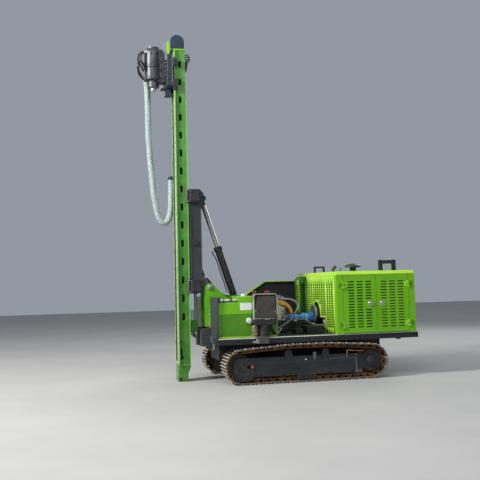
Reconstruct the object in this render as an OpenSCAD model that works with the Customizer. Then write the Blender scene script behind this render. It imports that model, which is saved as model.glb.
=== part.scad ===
// Tracked pile driver rig: a carrier on two tracks with an engine hood, a swinging and tilting cradle,
// and a tall slotted mast that slides in the cradle and carries a hydraulic drive head.
// Lengths are in millimetres. Before placed() shifts it, X is 0 at the middle of the tracks and points
// to the mast, Y points to the left side, and Z is 0 on the ground.

/* [Tracks] */
// Width over the outer edges of the two tracks
overall_w = 2120; // [1990:10:2300]
// Width of one track shoe
shoe_w = 395; // [320:5:405]
// Links in one track
link_count = 45; // [43:1:47]
// X of the front idler axle
idler_x = 1076; // [1030:1:1110]
// Pitch radius of the chain round the idler
idler_r = 222; // [214:1:228]
// X of the rear sprocket axle
sprocket_x = -1073; // [-1110:1:-1030]
// Pitch radius of the chain round the sprocket
sprocket_r = 225; // [216:1:232]
// Teeth on the sprocket
sprocket_teeth = 11; // [9:1:13]
// Height over the shoes of the upper run
track_h = 600; // [588:1:612]
// Thickness of a shoe plate
shoe_t = 8; // [6:1:12]
// Height of the bar on a shoe
grouser_h = 16; // [8:1:20]
// Height of a link from the pin line to the shoe
link_top = 28; // [24:1:32]
// Depth of a link from the pin line to its rail
link_rail = 32; // [26:1:34]
// Width of one strand of links
strand_w = 28; // [20:1:36]
// Distance from the track's middle to the middle of a strand
strand_y = 58; // [50:1:66]
// Lower rollers under one track frame
roller_count = 5; // [4:1:6]
// Radius of a lower roller
roller_r = 56; // [48:1:60]
// X of the two upper rollers, either side of the middle
carrier_x = 308; // [250:2:340]
// Radius of an upper roller
carrier_r = 34; // [28:1:38]
// Thickness of a track frame's side plates
frame_t = 12; // [8:1:18]
// X of the track frames' rear ends
frame_rear = -805; // [-830:5:-780]
// Height of the track frames' lower edge
frame_low = 108; // [98:1:116]
// Height of the crease where the frames' upper part leans inwards
frame_crease = 300; // [280:5:320]
// Height of the track frames' top
frame_top = 400; // [385:1:405]
// X of the front of the idler's side plates
yoke_front = 1203; // [1190:1:1212]
// X of the rear of the idler's side plates
yoke_rear = 880; // [860:5:900]
// Radius of the drive's cover
drive_r = 165; // [140:5:175]

/* [Deck] */
// X of the deck's front end
deck_front = 1440; // [1435:1:1460]
// X of the deck's rear end
deck_rear = -1890; // [-1950:10:-1880]
// Width of the deck
deck_w = 2020; // [1980:10:2060]
// Height of the deck's top
deck_z = 715; // [710:1:735]
// Height of the deck's side beams
beam_h = 97; // [85:1:100]
// Thickness of the deck plate
deck_t = 12; // [6:1:20]
// Half width of the carrier's centre box
core_w = 330; // [280:10:360]
// Half width of the tower that holds the swing ring
tower_w = 280; // [250:10:300]
// Thickness of the tower's front plate
tower_t = 30; // [16:2:40]
// Top of that tower
tower_z = 1160; // [1120:5:1180]
// Radius of the bore in each towing eye
eye_bore_r = 20; // [12:1:24]

/* [Tanks] */
// X of the tanks' rear wall on the left side
tank_rear = 475; // [430:5:520]
// X of the tanks' front wall
tank_front = 1405; // [1380:5:1410]
// Distance of the tanks' inner walls from the middle
tank_in = 350; // [345:5:400]
// Distance of the tanks' outer walls from the middle
tank_out = 880; // [840:5:890]
// Top of the tanks
tank_z = 1265; // [1230:5:1300]
// Thickness of the grey end plate in front of each tank
end_t = 24; // [10:1:30]
// Top of that end plate
end_z = 1353; // [1320:1:1400]
// Height of the raised rear part above the tanks' top
raise_h = 90; // [60:5:110]
// Length of that raised part on the left side
raise_l = 595; // [500:5:620]

/* [Hood] */
// X of the hood's front
hood_front = -495; // [-520:5:-480]
// X of the hood's rear
hood_rear = -1850; // [-1870:5:-1800]
// Width of the hood
hood_w = 2070; // [2000:10:2100]
// Top of the hood
hood_z = 1713; // [1680:1:1740]
// Chamfer along the roof's edges
roof_cut = 45; // [20:1:50]
// Thickness of the hood's sheet folds
panel_t = 16; // [10:1:22]
// Side of a corner post
post_w = 108; // [90:2:120]
// Gap round a door
door_gap = 6; // [5:1:10]
// Height of the roof above the door's top edge
roof_h = 58; // [50:1:80]
// Rows of slots in a door
slot_rows = 17; // [8:1:18]
// Columns of slots in a door
slot_cols = 3; // [2:1:4]
// Length of one door slot
slot_l = 98; // [60:1:110]
// Height of one door slot
slot_h = 20; // [12:1:26]
// Pitch of the slot columns in a door
slot_px = 148; // [120:1:160]
// Pitch of the slot rows in a door
slot_pz = 45; // [36:0.5:46]
// Radius of a door's round lock
lock_r = 42; // [30:1:50]
// Distance from a door's free edge to its lock
lock_in = 97; // [70:1:110]
// Width of a slot in the front grille
hole_w = 80; // [50:1:100]
// Height of a slot in the front grille
hole_h = 20; // [12:1:26]
// Pitch of the columns in the front grille
hole_py = 128; // [110:1:135]
// Pitch of the rows in the front grille
hole_pz = 37.5; // [32:0.5:40]
// Rows of slots in the front grille
hole_rows = 20; // [10:1:20]
// Half width of the opening below the front grille
bay_w = 480; // [400:5:500]
// Height of that opening's top
bay_z = 965; // [930:5:980]
// Radius of the knuckles of a door hinge
knuckle_r = 10; // [8:0.5:11]
// Radius of a door hinge's pin
hinge_pin_r = 5; // [3:0.5:6]

/* [Far side cover] */
// Width of the rim turned in round the cover
cover_rim = 75; // [40:5:120]
// Top of the cover
cover_z = 1595; // [1560:5:1640]
// X where the cover's top turns down
cover_turn = 158; // [120:1:220]
// X of the cover's front end
cover_front = 610; // [580:5:640]
// Height of the cover's front end
cover_low = 1311; // [1280:1:1360]
// Depth of the air duct in front of the grille
duct_d = 150; // [80:10:200]
// Distance of the duct's inner wall from the middle
duct_in = 490; // [485:5:560]
// Width of the duct
duct_w = 270; // [200:10:320]
// Chamfer round the top of the duct
duct_cut = 55; // [20:5:70]

/* [Power unit] */
// Height of the engine's shaft line
shaft_z = 1015; // [990:5:1040]
// Half width of the engine block
engine_w = 330; // [280:10:380]
// X of the engine's rear
engine_rear = -1560; // [-1640:10:-1450]
// X of the engine's front
engine_front = -575; // [-600:5:-560]
// Radius of the bell housing's flange
bell_r = 158; // [140:2:180]
// X of the bell housing's front face
bell_front = -430; // [-445:5:-410]
// Radius of the blue pump
pump_r = 78; // [60:2:85]
// X of the pump's front end
pump_front = 71; // [20:1:120]
// Distance of the pump's axis below the shaft line
pump_drop = 65; // [0:5:75]
// Top of the engine block
engine_top = 1420; // [1300:10:1500]

/* [Console] */
// X of the control console's rear side
console_rear = 497; // [470:1:530]
// X of the control console's front side
console_front = 872; // [850:1:900]
// Bottom of the console
console_low = 905; // [870:5:940]
// Top of the console
console_top = 1380; // [1340:5:1400]
// X of the console's post
post_x = 845; // [800:5:846]

/* [Swing] */
// Height of the swing ring's axis
swing_z = 995; // [985:1:1005]
// X of the swing ring's rear face
ring_x = 1325; // [1318:1:1330]
// Radius of the swing ring
ring_r = 262; // [240:2:266]
// Thickness of the fixed ring
ring_t = 38; // [30:1:42]
// Thickness of the turning plate
disc_t = 36; // [26:1:40]
// Height of the tilt pivot
pivot_z = 1505; // [1490:1:1520]
// X of the tilt pivot
pivot_x = 1392; // [1384:1:1400]
// Radius of the tilt pivot's pin
pivot_pin_r = 28; // [22:1:32]
// Distance from the middle to the inside of the bracket's cheeks
cheek_y = 165; // [163:1:170]
// Thickness of the bracket's cheeks
cheek_t = 25; // [16:1:30]

/* [Tilt cylinder] */
// X of the cylinder's foot pin
foot_x = 940; // [925:1:955]
// Height of the cylinder's foot pin
foot_z = 1318; // [1310:1:1326]
// X of the rod's eye
eye_x = 1478; // [1470:1:1486]
// Height of the rod's eye
eye_z = 2985; // [2970:1:3000]
// Outer radius of the barrel
barrel_r = 62; // [56:1:64]
// Radius of the rod
rod_r = 40; // [34:1:44]
// Length from the foot pin to the barrel's top
barrel_l = 905; // [880:1:915]
// Length of the rod from its piston end to its eye
rod_l = 955; // [930:1:958]
// Radius of the foot pin
foot_pin_r = 25; // [20:1:28]

/* [Cradle] */
// X of the cradle's rear edge
cradle_rear = 1505; // [1495:1:1515]
// X of the cradle's front
cradle_front = 1700; // [1696:1:1704]
// Half width of the cradle
cradle_w = 150; // [140:1:155]
// Bottom of the cradle
cradle_low = 1418; // [1410:1:1424]
// Top of the cradle
cradle_top = 3140; // [3110:5:3170]
// Thickness of the cradle's plates
cradle_t = 14; // [8:1:18]
// X of the bosses on the cradle's sides
boss_x = 1620; // [1600:2:1640]
// Height of those bosses
boss_z = 2246; // [2200:2:2300]
// Height of one guide clamp
clamp_h = 210; // [160:5:240]
// X of the mast lift cylinder
lift_x = 1605; // [1600:1:1610]
// Radius of the lift cylinder's barrel
lift_r = 40; // [34:1:42]
// Radius of the lift cylinder's rod
lift_rod_r = 25; // [20:1:30]
// Length of the lift cylinder's barrel
lift_l = 1000; // [940:10:1060]
// Top of the mast's lug under the lift cylinder
lug_z = 978; // [960:1:985]
// Height of that lug
lug_h = 195; // [120:5:210]

/* [Mast] */
// X of the mast's rear wall
mast_rear = 1740; // [1738:1:1748]
// X of the mast's front face
mast_front = 1920; // [1900:2:1926]
// Half width of the mast
mast_w = 150; // [140:1:154]
// Thickness of the mast's walls
mast_t = 12; // [8:1:16]
// Half width over the mast's rails
rail_w = 180; // [172:1:184]
// Thickness of the mast's rails
rail_t = 12; // [10:1:16]
// Top of the rear rail
rail_top = 4657; // [4600:1:4800]
// Top of the mast's box
mast_top = 5480; // [5400:10:5540]
// Height of the foot under the mast's box
foot_h = 270; // [240:5:300]
// X of the long keyhole near the mast's foot
key_x = 1875; // [1870:1:1880]
// Height of the keyhole's round end
key_z = 392; // [380:2:410]
// Length of the keyhole's slot
key_l = 150; // [110:5:170]
// Slots along the mast
mast_slots = 15; // [10:1:16]
// Height of the lowest slot's middle
slot_first = 1042; // [1000:1:1090]
// Pitch of the slots
slot_pitch = 300; // [280:5:300]
// Width of one mast slot
mast_slot_w = 50; // [36:1:56]
// Length of one mast slot
mast_slot_l = 120; // [90:2:140]
// Radius of the crown plates' round top
crown_r = 118; // [100:2:124]
// Distance of the crown's middle ahead of the mast's middle
crown_dx = 35; // [20:1:40]
// Height of the crown's top
crown_top = 5750; // [5720:5:5790]
// Half width of the feed chain
chain_w = 18; // [12:1:22]
// Thickness of the feed chain
chain_t = 20; // [12:1:22]

/* [Drive head] */
// X of the head's spindle
head_x = 2255; // [2240:1:2270]
// Radius of the head's main case
head_r = 147; // [130:1:152]
// Bottom of the head's case
head_low = 4860; // [4840:5:4880]
// Top of the head's case
head_top = 5551; // [5500:1:5570]
// Radius of the spindle's shank
spindle_r = 50; // [35:1:56]
// Length of the spindle's shank
spindle_l = 45; // [30:1:80]
// Bottom of the carriage's plate
carriage_low = 4868; // [4850:1:4890]
// Top of the carriage's plate
carriage_top = 5380; // [5350:1:5383]
// X of the carriage plate's rear face
carriage_x = 1948; // [1946:1:1952]
// Half width of the carriage
carriage_w = 212; // [205:1:216]

/* [Hose] */
// Diameter of the hose bundle's wrap
bundle_d = 112; // [80:1:118]

/* [Hidden] */
$fn = 48;

// Clearance of a seated or sliding face
slide_c = 0.4;
// Clearance of a pin in its eye
pin_c = 0.3;
// Play between pieces that stand beside each other
play = 4;
// Middle of one track, from the middle of the machine
track_y = (overall_w - shoe_w) / 2;
// Height of the pin line of the lower run
low_run = link_top + shoe_t + grouser_h;
// Height of the pin line of the upper run
high_run = track_h - low_run;
// Heights of the idler's and the sprocket's axles
idler_z = low_run + idler_r;
sprocket_z = low_run + sprocket_r;
// Pitch radius where the chain bends over an upper roller
bend_r = 70;
// Half width of a track frame inside its plates
frame_y = strand_y + strand_w / 2 + 28;
// Front and rear reach of the machine, and their middle
reach_front = head_x + head_r;
reach_rear = deck_rear;
mid_x = (reach_front + reach_rear) / 2;
// Underside of the deck's beams
beam_z = deck_z - beam_h;
// Half width of the hood
hood_y = hood_w / 2;
// Bottom edge of the roof
eave_z = hood_z - roof_h;
// X of the line where a side's two doors meet
door_mid = (hood_front + hood_rear) / 2;

dark = [0.17, 0.18, 0.20];
slate = [0.30, 0.33, 0.37];
green = [0.36, 0.72, 0.10];
deep_green = [0.22, 0.55, 0.08];
black = [0.08, 0.08, 0.09];
steel = [0.62, 0.62, 0.60];
rust = [0.34, 0.20, 0.10];

// Puts a piece that is drawn from the tracks' middle on the whole machine's middle
module placed() { translate([-mid_x, 0, 0]) children(); }

// The piece and its mirror image on the other side
module both_sides() {
    children();
    mirror([0, 1, 0]) children();
}

// A box between two corners
module block(x0, x1, y0, y1, z0, z1) {
    translate([x0, y0, z0]) cube([x1 - x0, y1 - y0, z1 - z0]);
}

// Extrudes an outline in X and Z from y0 to y1
module span_y(y0, y1) { translate([0, y1, 0]) rotate([90, 0, 0]) linear_extrude(y1 - y0) children(); }

// Extrudes an outline in Y and Z from x0 to x1
module span_x(x0, x1) { translate([x0, 0, 0]) rotate([90, 0, 90]) linear_extrude(x1 - x0) children(); }

// A round bar along Y
module bar_y(x, z, r, y0, y1) { translate([x, y1, z]) rotate([90, 0, 0]) cylinder(r = r, h = y1 - y0); }

// A round bar along X
module bar_x(y, z, r, x0, x1) { translate([x0, y, z]) rotate([0, 90, 0]) cylinder(r = r, h = x1 - x0); }

// The wheels that the chain's pin line wraps, as [x, z, pitch radius], anticlockwise from the idler
wraps = [
    [idler_x, idler_z, idler_r],
    [carrier_x, high_run - bend_r, bend_r],
    [-carrier_x, high_run - bend_r, bend_r],
    [sprocket_x, sprocket_z, sprocket_r]];
wrap_count = len(wraps);
function wrap(i) = wraps[(i + wrap_count) % wrap_count];
function wrap_gap(i) = [wrap(i + 1)[0] - wrap(i)[0], wrap(i + 1)[1] - wrap(i)[1]];
function run_l(i) = sqrt(pow(norm(wrap_gap(i)), 2) - pow(wrap(i)[2] - wrap(i + 1)[2], 2));
function run_a(i) = atan2(wrap_gap(i)[1], wrap_gap(i)[0])
    + asin((wrap(i)[2] - wrap(i + 1)[2]) / norm(wrap_gap(i)));
function turn_a(i) = (run_a(i) - run_a(i - 1) + 720) % 360;
function turn_l(i) = wrap(i)[2] * turn_a(i) * PI / 180;
function run_start(i) = i == 0 ? 0 : run_start(i - 1) + turn_l(i - 1) + run_l(i - 1);
starts = [for (i = [0:wrap_count]) run_start(i)];
loop_l = starts[wrap_count];
link_p = loop_l / link_count;
function wrap_at(s) = max([for (i = [0:wrap_count - 1]) starts[i] <= s ? i : 0]);
function on_wrap(i, a) = [wrap(i)[0] + wrap(i)[2] * cos(a), wrap(i)[1] + wrap(i)[2] * sin(a)];
function pin_at(s) =
    let (i = wrap_at(s), t = s - starts[i], a = run_a(i) - 90)
    t < turn_l(i)
        ? on_wrap(i, run_a(i - 1) - 90 + t / wrap(i)[2] * 180 / PI)
        : on_wrap(i, a) + (t - turn_l(i)) * [cos(run_a(i)), sin(run_a(i))];
pins = [for (k = [0:link_count - 1]) pin_at(k * link_p)];
// A point on link k, u along it as a share of its length and v outwards from its pin line
function on_link(k, u, v) =
    let (a = pins[k], b = pins[(k + 1) % link_count], e = (b - a) / norm(b - a))
    a + (b - a) * u + [e[1], -e[0]] * v;
// Radius of a wheel whose rim bears on the rails of straight links that wrap at a pitch radius
function rim_r(pitch_r) = sqrt(pitch_r * pitch_r - link_p * link_p / 4) - link_rail - slide_c;

// Heights of a shoe over the pin line: its base, its plate's face and its bars' tips
shoe_base = link_top - 1;
shoe_face = link_top + shoe_t;
bar_tip = shoe_face + grouser_h;
// One loop of links with its shoes, with the track's middle at y
module track(y) {
    rail = [[0, -link_rail * 0.5], [0.2, -link_rail], [0.8, -link_rail]];
    shoe = [[0.02, shoe_base], [0.98, shoe_base], [0.94, bar_tip], [0.83, bar_tip], [0.7, shoe_face],
        [0.5, bar_tip], [0.3, shoe_face], [0.17, bar_tip], [0.06, bar_tip]];
    for (side = [-1, 1])
        span_y(y + side * strand_y - strand_w / 2, y + side * strand_y + strand_w / 2)
            difference() {
                polygon([for (k = [0:link_count - 1]) on_link(k, 0.5, link_top)]);
                polygon([for (k = [0:link_count - 1]) for (p = rail) on_link(k, p[0], p[1])]);
            }
    span_y(y - shoe_w / 2, y + shoe_w / 2)
        for (k = [0:link_count - 1])
            polygon([for (p = shoe) on_link(k, p[0], p[1])]);
}

module track_left() { placed() color(rust) track(track_y); }
module track_right() { placed() color(rust) track(-track_y); }

// Heights of the rollers' axles, and the lowest point of the frame's box over the lower rollers
roller_z = low_run + link_rail + roller_r + slide_c;
carrier_z = high_run - link_rail - carrier_r - play;
box_low = roller_z + roller_r + 10;
// Outer face of a track frame's side plates, inner face of the upper rollers' posts, and inner face of
// the drive's cover, all from the track's middle
plate_y = frame_y + frame_t;
post_in = frame_y - 24;
drive_in = frame_y - 15;

// A round-ended slot along X, cut from y0 to y1
module slot_y(x0, x1, z, r, y0, y1) {
    bar_y(x0, z, r, y0, y1);
    bar_y(x1, z, r, y0, y1);
    block(x0, x1, y0, y1, z - r, z + r);
}

// The frame inside one track: a box that leans in above its crease and stands on two side plates, the
// idler's side plates with their slot, the upper rollers' posts, and on the outer side a guard and the
// drive's cover
module track_frame(y) {
    lean = 45;
    box_front = idler_x - rim_r(idler_r) - 12;
    yoke_t = 10;
    yoke_low = frame_low - 58;
    overlap = 40;
    post_t = 12;
    post = [[-66, frame_crease + 40], [66, frame_crease + 40], [66, frame_top], [46, carrier_z + carrier_r / 2],
        [-46, carrier_z + carrier_r / 2], [-66, frame_top]];
    yoke = [[yoke_rear, frame_low], [yoke_rear + 90, yoke_low], [yoke_front - 75, yoke_low],
        [yoke_front - 22, frame_low - 30], [yoke_front, frame_low + 20], [yoke_front, frame_top - 60],
        [yoke_front - 50, frame_top], [yoke_rear, frame_top]];
    guard = [-125, 185];
    out = y > 0 ? 1 : -1;
    translate([0, y, 0]) {
        both_sides() {
            block(frame_rear, yoke_rear + overlap, frame_y, plate_y, frame_low, frame_crease);
            difference() {
                span_y(plate_y, plate_y + yoke_t) polygon(yoke);
                slot_y(yoke_rear + 25, yoke_rear + 95, idler_z - 8, 22, plate_y - 1, plate_y + yoke_t + 1);
            }
        }
        span_x(frame_rear, box_front)
            polygon([[-plate_y, box_low], [plate_y, box_low], [plate_y, frame_crease],
                [plate_y - lean, frame_top], [lean - plate_y, frame_top], [-plate_y, frame_crease]]);
        for (x = [-carrier_x, carrier_x])
            both_sides() translate([x, 0, 0]) span_y(post_in, post_in + post_t) polygon(post);
        scale([1, out, 1]) {
            block(guard[0], guard[1], plate_y - 1, plate_y + 11, yoke_low - 8, frame_low + 30);
            bar_y(sprocket_x, sprocket_z, drive_r, drive_in, plate_y - 3);
            bar_y(sprocket_x, sprocket_z, drive_r * 0.56, plate_y - 4, plate_y + 25);
            block(sprocket_x, frame_rear + 1, drive_in, plate_y - 3, sprocket_z - drive_r * 0.7,
                sprocket_z + drive_r * 0.65);
        }
    }
}

module track_frame_left() { placed() color(dark) track_frame(track_y); }
module track_frame_right() { placed() color(dark) track_frame(-track_y); }

// A wheel with two treads under the strands, a thinner waist and a shaft up to the frame's plates
module twin_wheel(x, z, r, y, waist_r, shaft_r, shaft_y) {
    for (side = [-1, 1])
        bar_y(x, z, r, y + side * strand_y - strand_w / 2, y + side * strand_y + strand_w / 2);
    bar_y(x, z, waist_r, y - strand_y, y + strand_y);
    bar_y(x, z, shaft_r, y - shaft_y, y + shaft_y);
}

module idlers() {
    placed() color(dark)
        for (y = [-track_y, track_y])
            twin_wheel(idler_x, idler_z, rim_r(idler_r), y, rim_r(idler_r) * 0.8, 40, plate_y);
}

// Room for the lower rollers, and its middle
box_run = yoke_rear - frame_rear;
box_mid = (yoke_rear + frame_rear) / 2;
module rollers() {
    roller_span = box_run - 2 * roller_r - 60;
    placed() color(dark)
        for (y = [-track_y, track_y]) {
            for (i = [0:roller_count - 1])
                twin_wheel(box_mid + roller_span * (i / (roller_count - 1) - 0.5), roller_z, roller_r, y,
                    42, 22, frame_y);
            for (x = [-carrier_x, carrier_x])
                twin_wheel(x, carrier_z, carrier_r, y, 22, 12, post_in);
        }
}

// A toothed wheel whose teeth stand between the two strands, with a hub out to the drive
module sprockets() {
    tooth_r = sprocket_r + link_top / 2;
    root_r = sprocket_r - link_rail;
    tooth_w = 20;
    placed() color(steel)
        for (y = [-track_y, track_y]) {
            span_y(y - tooth_w, y + tooth_w)
                polygon([for (i = [0:sprocket_teeth - 1]) for (p = [[-0.34, root_r], [-0.12, tooth_r],
                    [0.12, tooth_r], [0.34, root_r]])
                    [sprocket_x + p[1] * cos((i + p[0]) * 360 / sprocket_teeth),
                     sprocket_z + p[1] * sin((i + p[0]) * 360 / sprocket_teeth)]]);
            bar_y(sprocket_x, sprocket_z, root_r * 0.6, y - drive_in, y + drive_in);
        }
}

// The carrier's centre box, with the tower that holds the swing ring at its front
core_low = 330;
module center_frame() {
    plate_top = swing_z + 190;
    placed() color(dark) {
        block(deck_rear + 390, ring_x - tower_t, -core_w, core_w, core_low, deck_z - deck_t);
        block(foot_x - 90, ring_x - tower_t, -tower_w, tower_w, beam_z, tower_z);
        block(ring_x - tower_t, ring_x, -tower_w, tower_w, beam_z, plate_top);
    }
}

// Four arms that slope from the centre box to the track frames
module cross_arms() {
    arm_out = track_y - plate_y;
    arm_l = 200;
    arm_low = box_low + 6;
    placed() color(dark)
        for (x = [idler_x - 516, sprocket_x + 453])
            both_sides() span_x(x, x + arm_l)
                polygon([[core_w, core_low + 10], [arm_out, arm_low], [arm_out, frame_crease - 4],
                    [core_w, core_low + 130]]);
}

// The deck's plate, cut out round the tower
module deck_plate() {
    placed() color(slate)
        difference() {
            block(deck_rear, deck_front, -deck_w / 2, deck_w / 2, deck_z - deck_t, deck_z);
            block(foot_x - 90 - play, deck_front + 1, -tower_w - play, tower_w + play, deck_z - deck_t - 1,
                deck_z + 1);
        }
}

// The beams under the deck's edges, and the towing eyes on the rear one
module deck_beams() {
    beam_w = 70;
    lug_t = 24;
    lug_y = 300;
    lug_d = 70;
    under = deck_z - deck_t;
    placed() color(slate) {
        both_sides() block(deck_rear, deck_front, deck_w / 2 - beam_w, deck_w / 2, beam_z, under);
        both_sides() block(deck_front - 60, deck_front, tower_w + 30, deck_w / 2 - beam_w - slide_c,
            beam_z, under);
        block(deck_rear, deck_rear + 50, -deck_w / 2 + beam_w + slide_c, deck_w / 2 - beam_w - slide_c,
            beam_z, under);
        both_sides()
            difference() {
                block(deck_rear, deck_rear + 80, lug_y, lug_y + lug_t, beam_z - lug_d, beam_z);
                bar_y(deck_rear + 40, beam_z - lug_d / 2, eye_bore_r, lug_y - 1, lug_y + lug_t + 1);
            }
    }
}

// The grey plates in front of the tanks, the notched block under the ring, and the towing hooks
module front_frame() {
    block_low = 560;
    block_top = 828;
    horn_top = 852;
    block_front = 1561;
    disc_back = ring_x + ring_t + disc_t + 8;
    notch_x = 1492;
    notch_w = 84;
    horn_y = 222;
    under_disc = swing_z - ring_r - 8;
    placed() color(slate) {
        both_sides() {
            block(tank_front, tank_front + end_t, tank_in, tank_out + 20, deck_z, end_z);
            block(tank_front - 120, tank_front, tank_in - 16, tank_in - 2, deck_z, end_z - 40);
            block(disc_back, block_front, horn_y, tower_w, block_top - 1, horn_top);
            block(ring_x + 24, ring_x + 74, horn_y, horn_y + 26, block_low - 62, block_low + 1);
        }
        block(ring_x, disc_back + 1, -tower_w, tower_w, block_low, under_disc);
        difference() {
            block(disc_back, block_front, -tower_w, tower_w, block_low, block_top);
            block(notch_x, block_front + 1, -notch_w, notch_w, block_low - 1, block_top + 1);
        }
    }
}

module swing_ring() {
    placed() color(steel)
        difference() {
            bar_x(0, swing_z, ring_r, ring_x, ring_x + ring_t);
            bar_x(0, swing_z, ring_r * 0.55, ring_x - 1, ring_x + ring_t + 1);
        }
}

// One tank between two corners in Y, with a raised rear part
module tank(y0, y1, rear) {
    block(rear, tank_front, y0, y1, deck_z, tank_z);
    block(rear, tank_rear + raise_l, y0, y1, tank_z - 1, tank_z + raise_h);
}
module tank_left() { placed() color(green) tank(tank_in, tank_out, tank_rear); }
module tank_right() { placed() color(green) tank(-tank_out, -tank_in, cover_front + play); }

module engine_block() {
    placed() color(dark) block(engine_rear, engine_front, -engine_w, engine_w, deck_z, engine_top);
}
module bell_housing() {
    rim = 40;
    placed() color(steel) {
        bar_x(0, shaft_z, bell_r, bell_front - rim, bell_front);
        bar_x(0, shaft_z, bell_r * 0.8, engine_front, bell_front - rim);
    }
}
module pump() {
    pump_z = shaft_z - pump_drop;
    placed() color([0.1, 0.35, 0.75]) {
        bar_x(0, pump_z, pump_r, bell_front, pump_front);
        bar_x(0, pump_z, pump_r + 22, bell_front, bell_front + 30);
    }
}
module valve_block() {
    valve_w = 260;
    placed() color([0.75, 0.7, 0.55])
        block(pump_front + 20, pump_front + 120, -valve_w, valve_w, deck_z, shaft_z + 155);
}

// Vertical posts of the hood, with the fixed knuckles and pins of the door hinges
hinge_y = hood_y + knuckle_r + 1;
hinge_front = hood_front - post_w - door_gap / 2;
hinge_rear = hood_rear + post_w + door_gap / 2;
hinge_zs = [deck_z + 143, eave_z - 165];
knuckle_h = 40;
leaf_l = 44;
module hood_posts() {
    mullion_w = 32;
    mullion_t = 40;
    placed() color(deep_green) {
        for (x = [hood_front - post_w, hood_rear])
            both_sides() block(x, x + post_w, hood_y - post_w, hood_y, deck_z, eave_z);
        both_sides()
            block(door_mid - mullion_w / 2, door_mid + mullion_w / 2, hood_y - panel_t - mullion_t,
                hood_y - panel_t - slide_c, deck_z, eave_z);
        both_sides()
            for (h = [[hinge_front, 0], [hinge_rear, -leaf_l]])
                for (z = hinge_zs) {
                    for (s = [-1, 1])
                        translate([h[0], hinge_y, z + s * (knuckle_h + slide_c) - knuckle_h / 2]) {
                            cylinder(r = knuckle_r, h = knuckle_h);
                            translate([h[1], hood_y - hinge_y, 0]) cube([leaf_l, knuckle_r, knuckle_h]);
                        }
                    translate([h[0], hinge_y, z - knuckle_h])
                        cylinder(r = hinge_pin_r, h = 2 * knuckle_h);
                }
    }
}

// One door with its slots, lock and moving knuckles; hx is its hinge's X and dir points from the hinge
// to the free edge
module door(hx, dir) {
    edge = hx + dir * door_gap / 2;
    free = door_mid - dir * door_gap / 2;
    door_l = abs(free - edge);
    z0 = deck_z + door_gap * 2;
    z1 = eave_z - door_gap;
    first_z = 109;
    first_x = 130;
    margin = 12;
    lock_t = 8;
    lock_x = free - dir * lock_in;
    lock_z = (z0 + z1) / 2;
    span_y(hood_y - panel_t, hood_y)
        difference() {
            translate([min(edge, free), z0]) square([door_l, z1 - z0]);
            for (c = [0:slot_cols - 1])
                for (r = [0:slot_rows - 1]) {
                    sx = free - dir * (first_x + c * slot_px);
                    sz = z1 - first_z - r * slot_pz;
                    at_lock = c == 0 && abs(sz - lock_z) < lock_r + slot_h;
                    if (!at_lock && sz - slot_h / 2 > z0 + margin && abs(sx - edge) > slot_l / 2 + margin)
                        translate([sx - slot_l / 2, sz - slot_h / 2]) square([slot_l, slot_h]);
                }
        }
    bar_y(lock_x, lock_z, lock_r, hood_y, hood_y + lock_t);
    for (z = hinge_zs)
        difference() {
            union() {
                translate([hx, hinge_y, z - knuckle_h / 2]) cylinder(r = knuckle_r, h = knuckle_h);
                translate([min(hx, hx + dir * leaf_l), hood_y, z - knuckle_h / 2])
                    cube([leaf_l, knuckle_r, knuckle_h]);
            }
            translate([hx, hinge_y, z - knuckle_h])
                cylinder(r = hinge_pin_r + pin_c, h = 2 * knuckle_h);
        }
}
module door_left_front() { placed() color(green) door(hinge_front, -1); }
module door_left_rear() { placed() color(green) door(hinge_rear, 1); }
module door_right_front() { placed() color(green) mirror([0, 1, 0]) door(hinge_front, -1); }
module door_right_rear() { placed() color(green) mirror([0, 1, 0]) door(hinge_rear, 1); }

// A tray with chamfered long edges, open below and lapping the posts
module hood_roof() {
    function eaves(w, top) = [[-w, eave_z], [w, eave_z], [w, top - roof_cut], [w - roof_cut, top],
        [-w + roof_cut, top], [-w, top - roof_cut]];
    placed() color(green)
        difference() {
            span_x(hood_rear, hood_front) polygon(eaves(hood_y, hood_z));
            translate([0, 0, -1]) span_x(hood_rear + panel_t, hood_front - panel_t)
                polygon(eaves(hood_y - panel_t, hood_z - panel_t));
        }
}

// Half width of the panels across the hood
panel_y = hood_y - post_w - 2;

// The perforated panel towards the engine bay: groups of slot columns, open below round the bell housing
module hood_front_grille() {
    first_y = 123;
    first_z = 122;
    group_gap = 38;
    round_cut = bell_r + 45;
    edge = 12;
    function column(c) = panel_y - first_y - c * hole_py - (c > 2 ? group_gap : 0) - (c > 7 ? group_gap : 0);
    function at_bay(y, z) = abs(y) < bay_w + hole_w / 2 + edge && z < bay_z + hole_h / 2 + edge;
    function at_bell(y, z) = norm([y, z - shaft_z]) < round_cut + hole_w / 2 + edge;
    placed() color(green)
        span_x(hood_front - panel_t, hood_front)
            difference() {
                translate([-panel_y, deck_z]) square([2 * panel_y, eave_z - deck_z]);
                translate([0, shaft_z]) circle(round_cut);
                translate([-bay_w, deck_z - 1]) square([2 * bay_w, bay_z - deck_z + 1]);
                for (c = [0:10])
                    for (r = [0:hole_rows - 1]) {
                        y = column(c);
                        z = eave_z - first_z - r * hole_pz;
                        if (!at_bay(y, z) && !at_bell(y, z) && z > deck_z + hole_h + edge)
                            translate([y - hole_w / 2, z - hole_h / 2]) square([hole_w, hole_h]);
                    }
            }
    placed() color(green)
        difference() {
            duct(0);
            duct(panel_t);
        }
}

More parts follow.
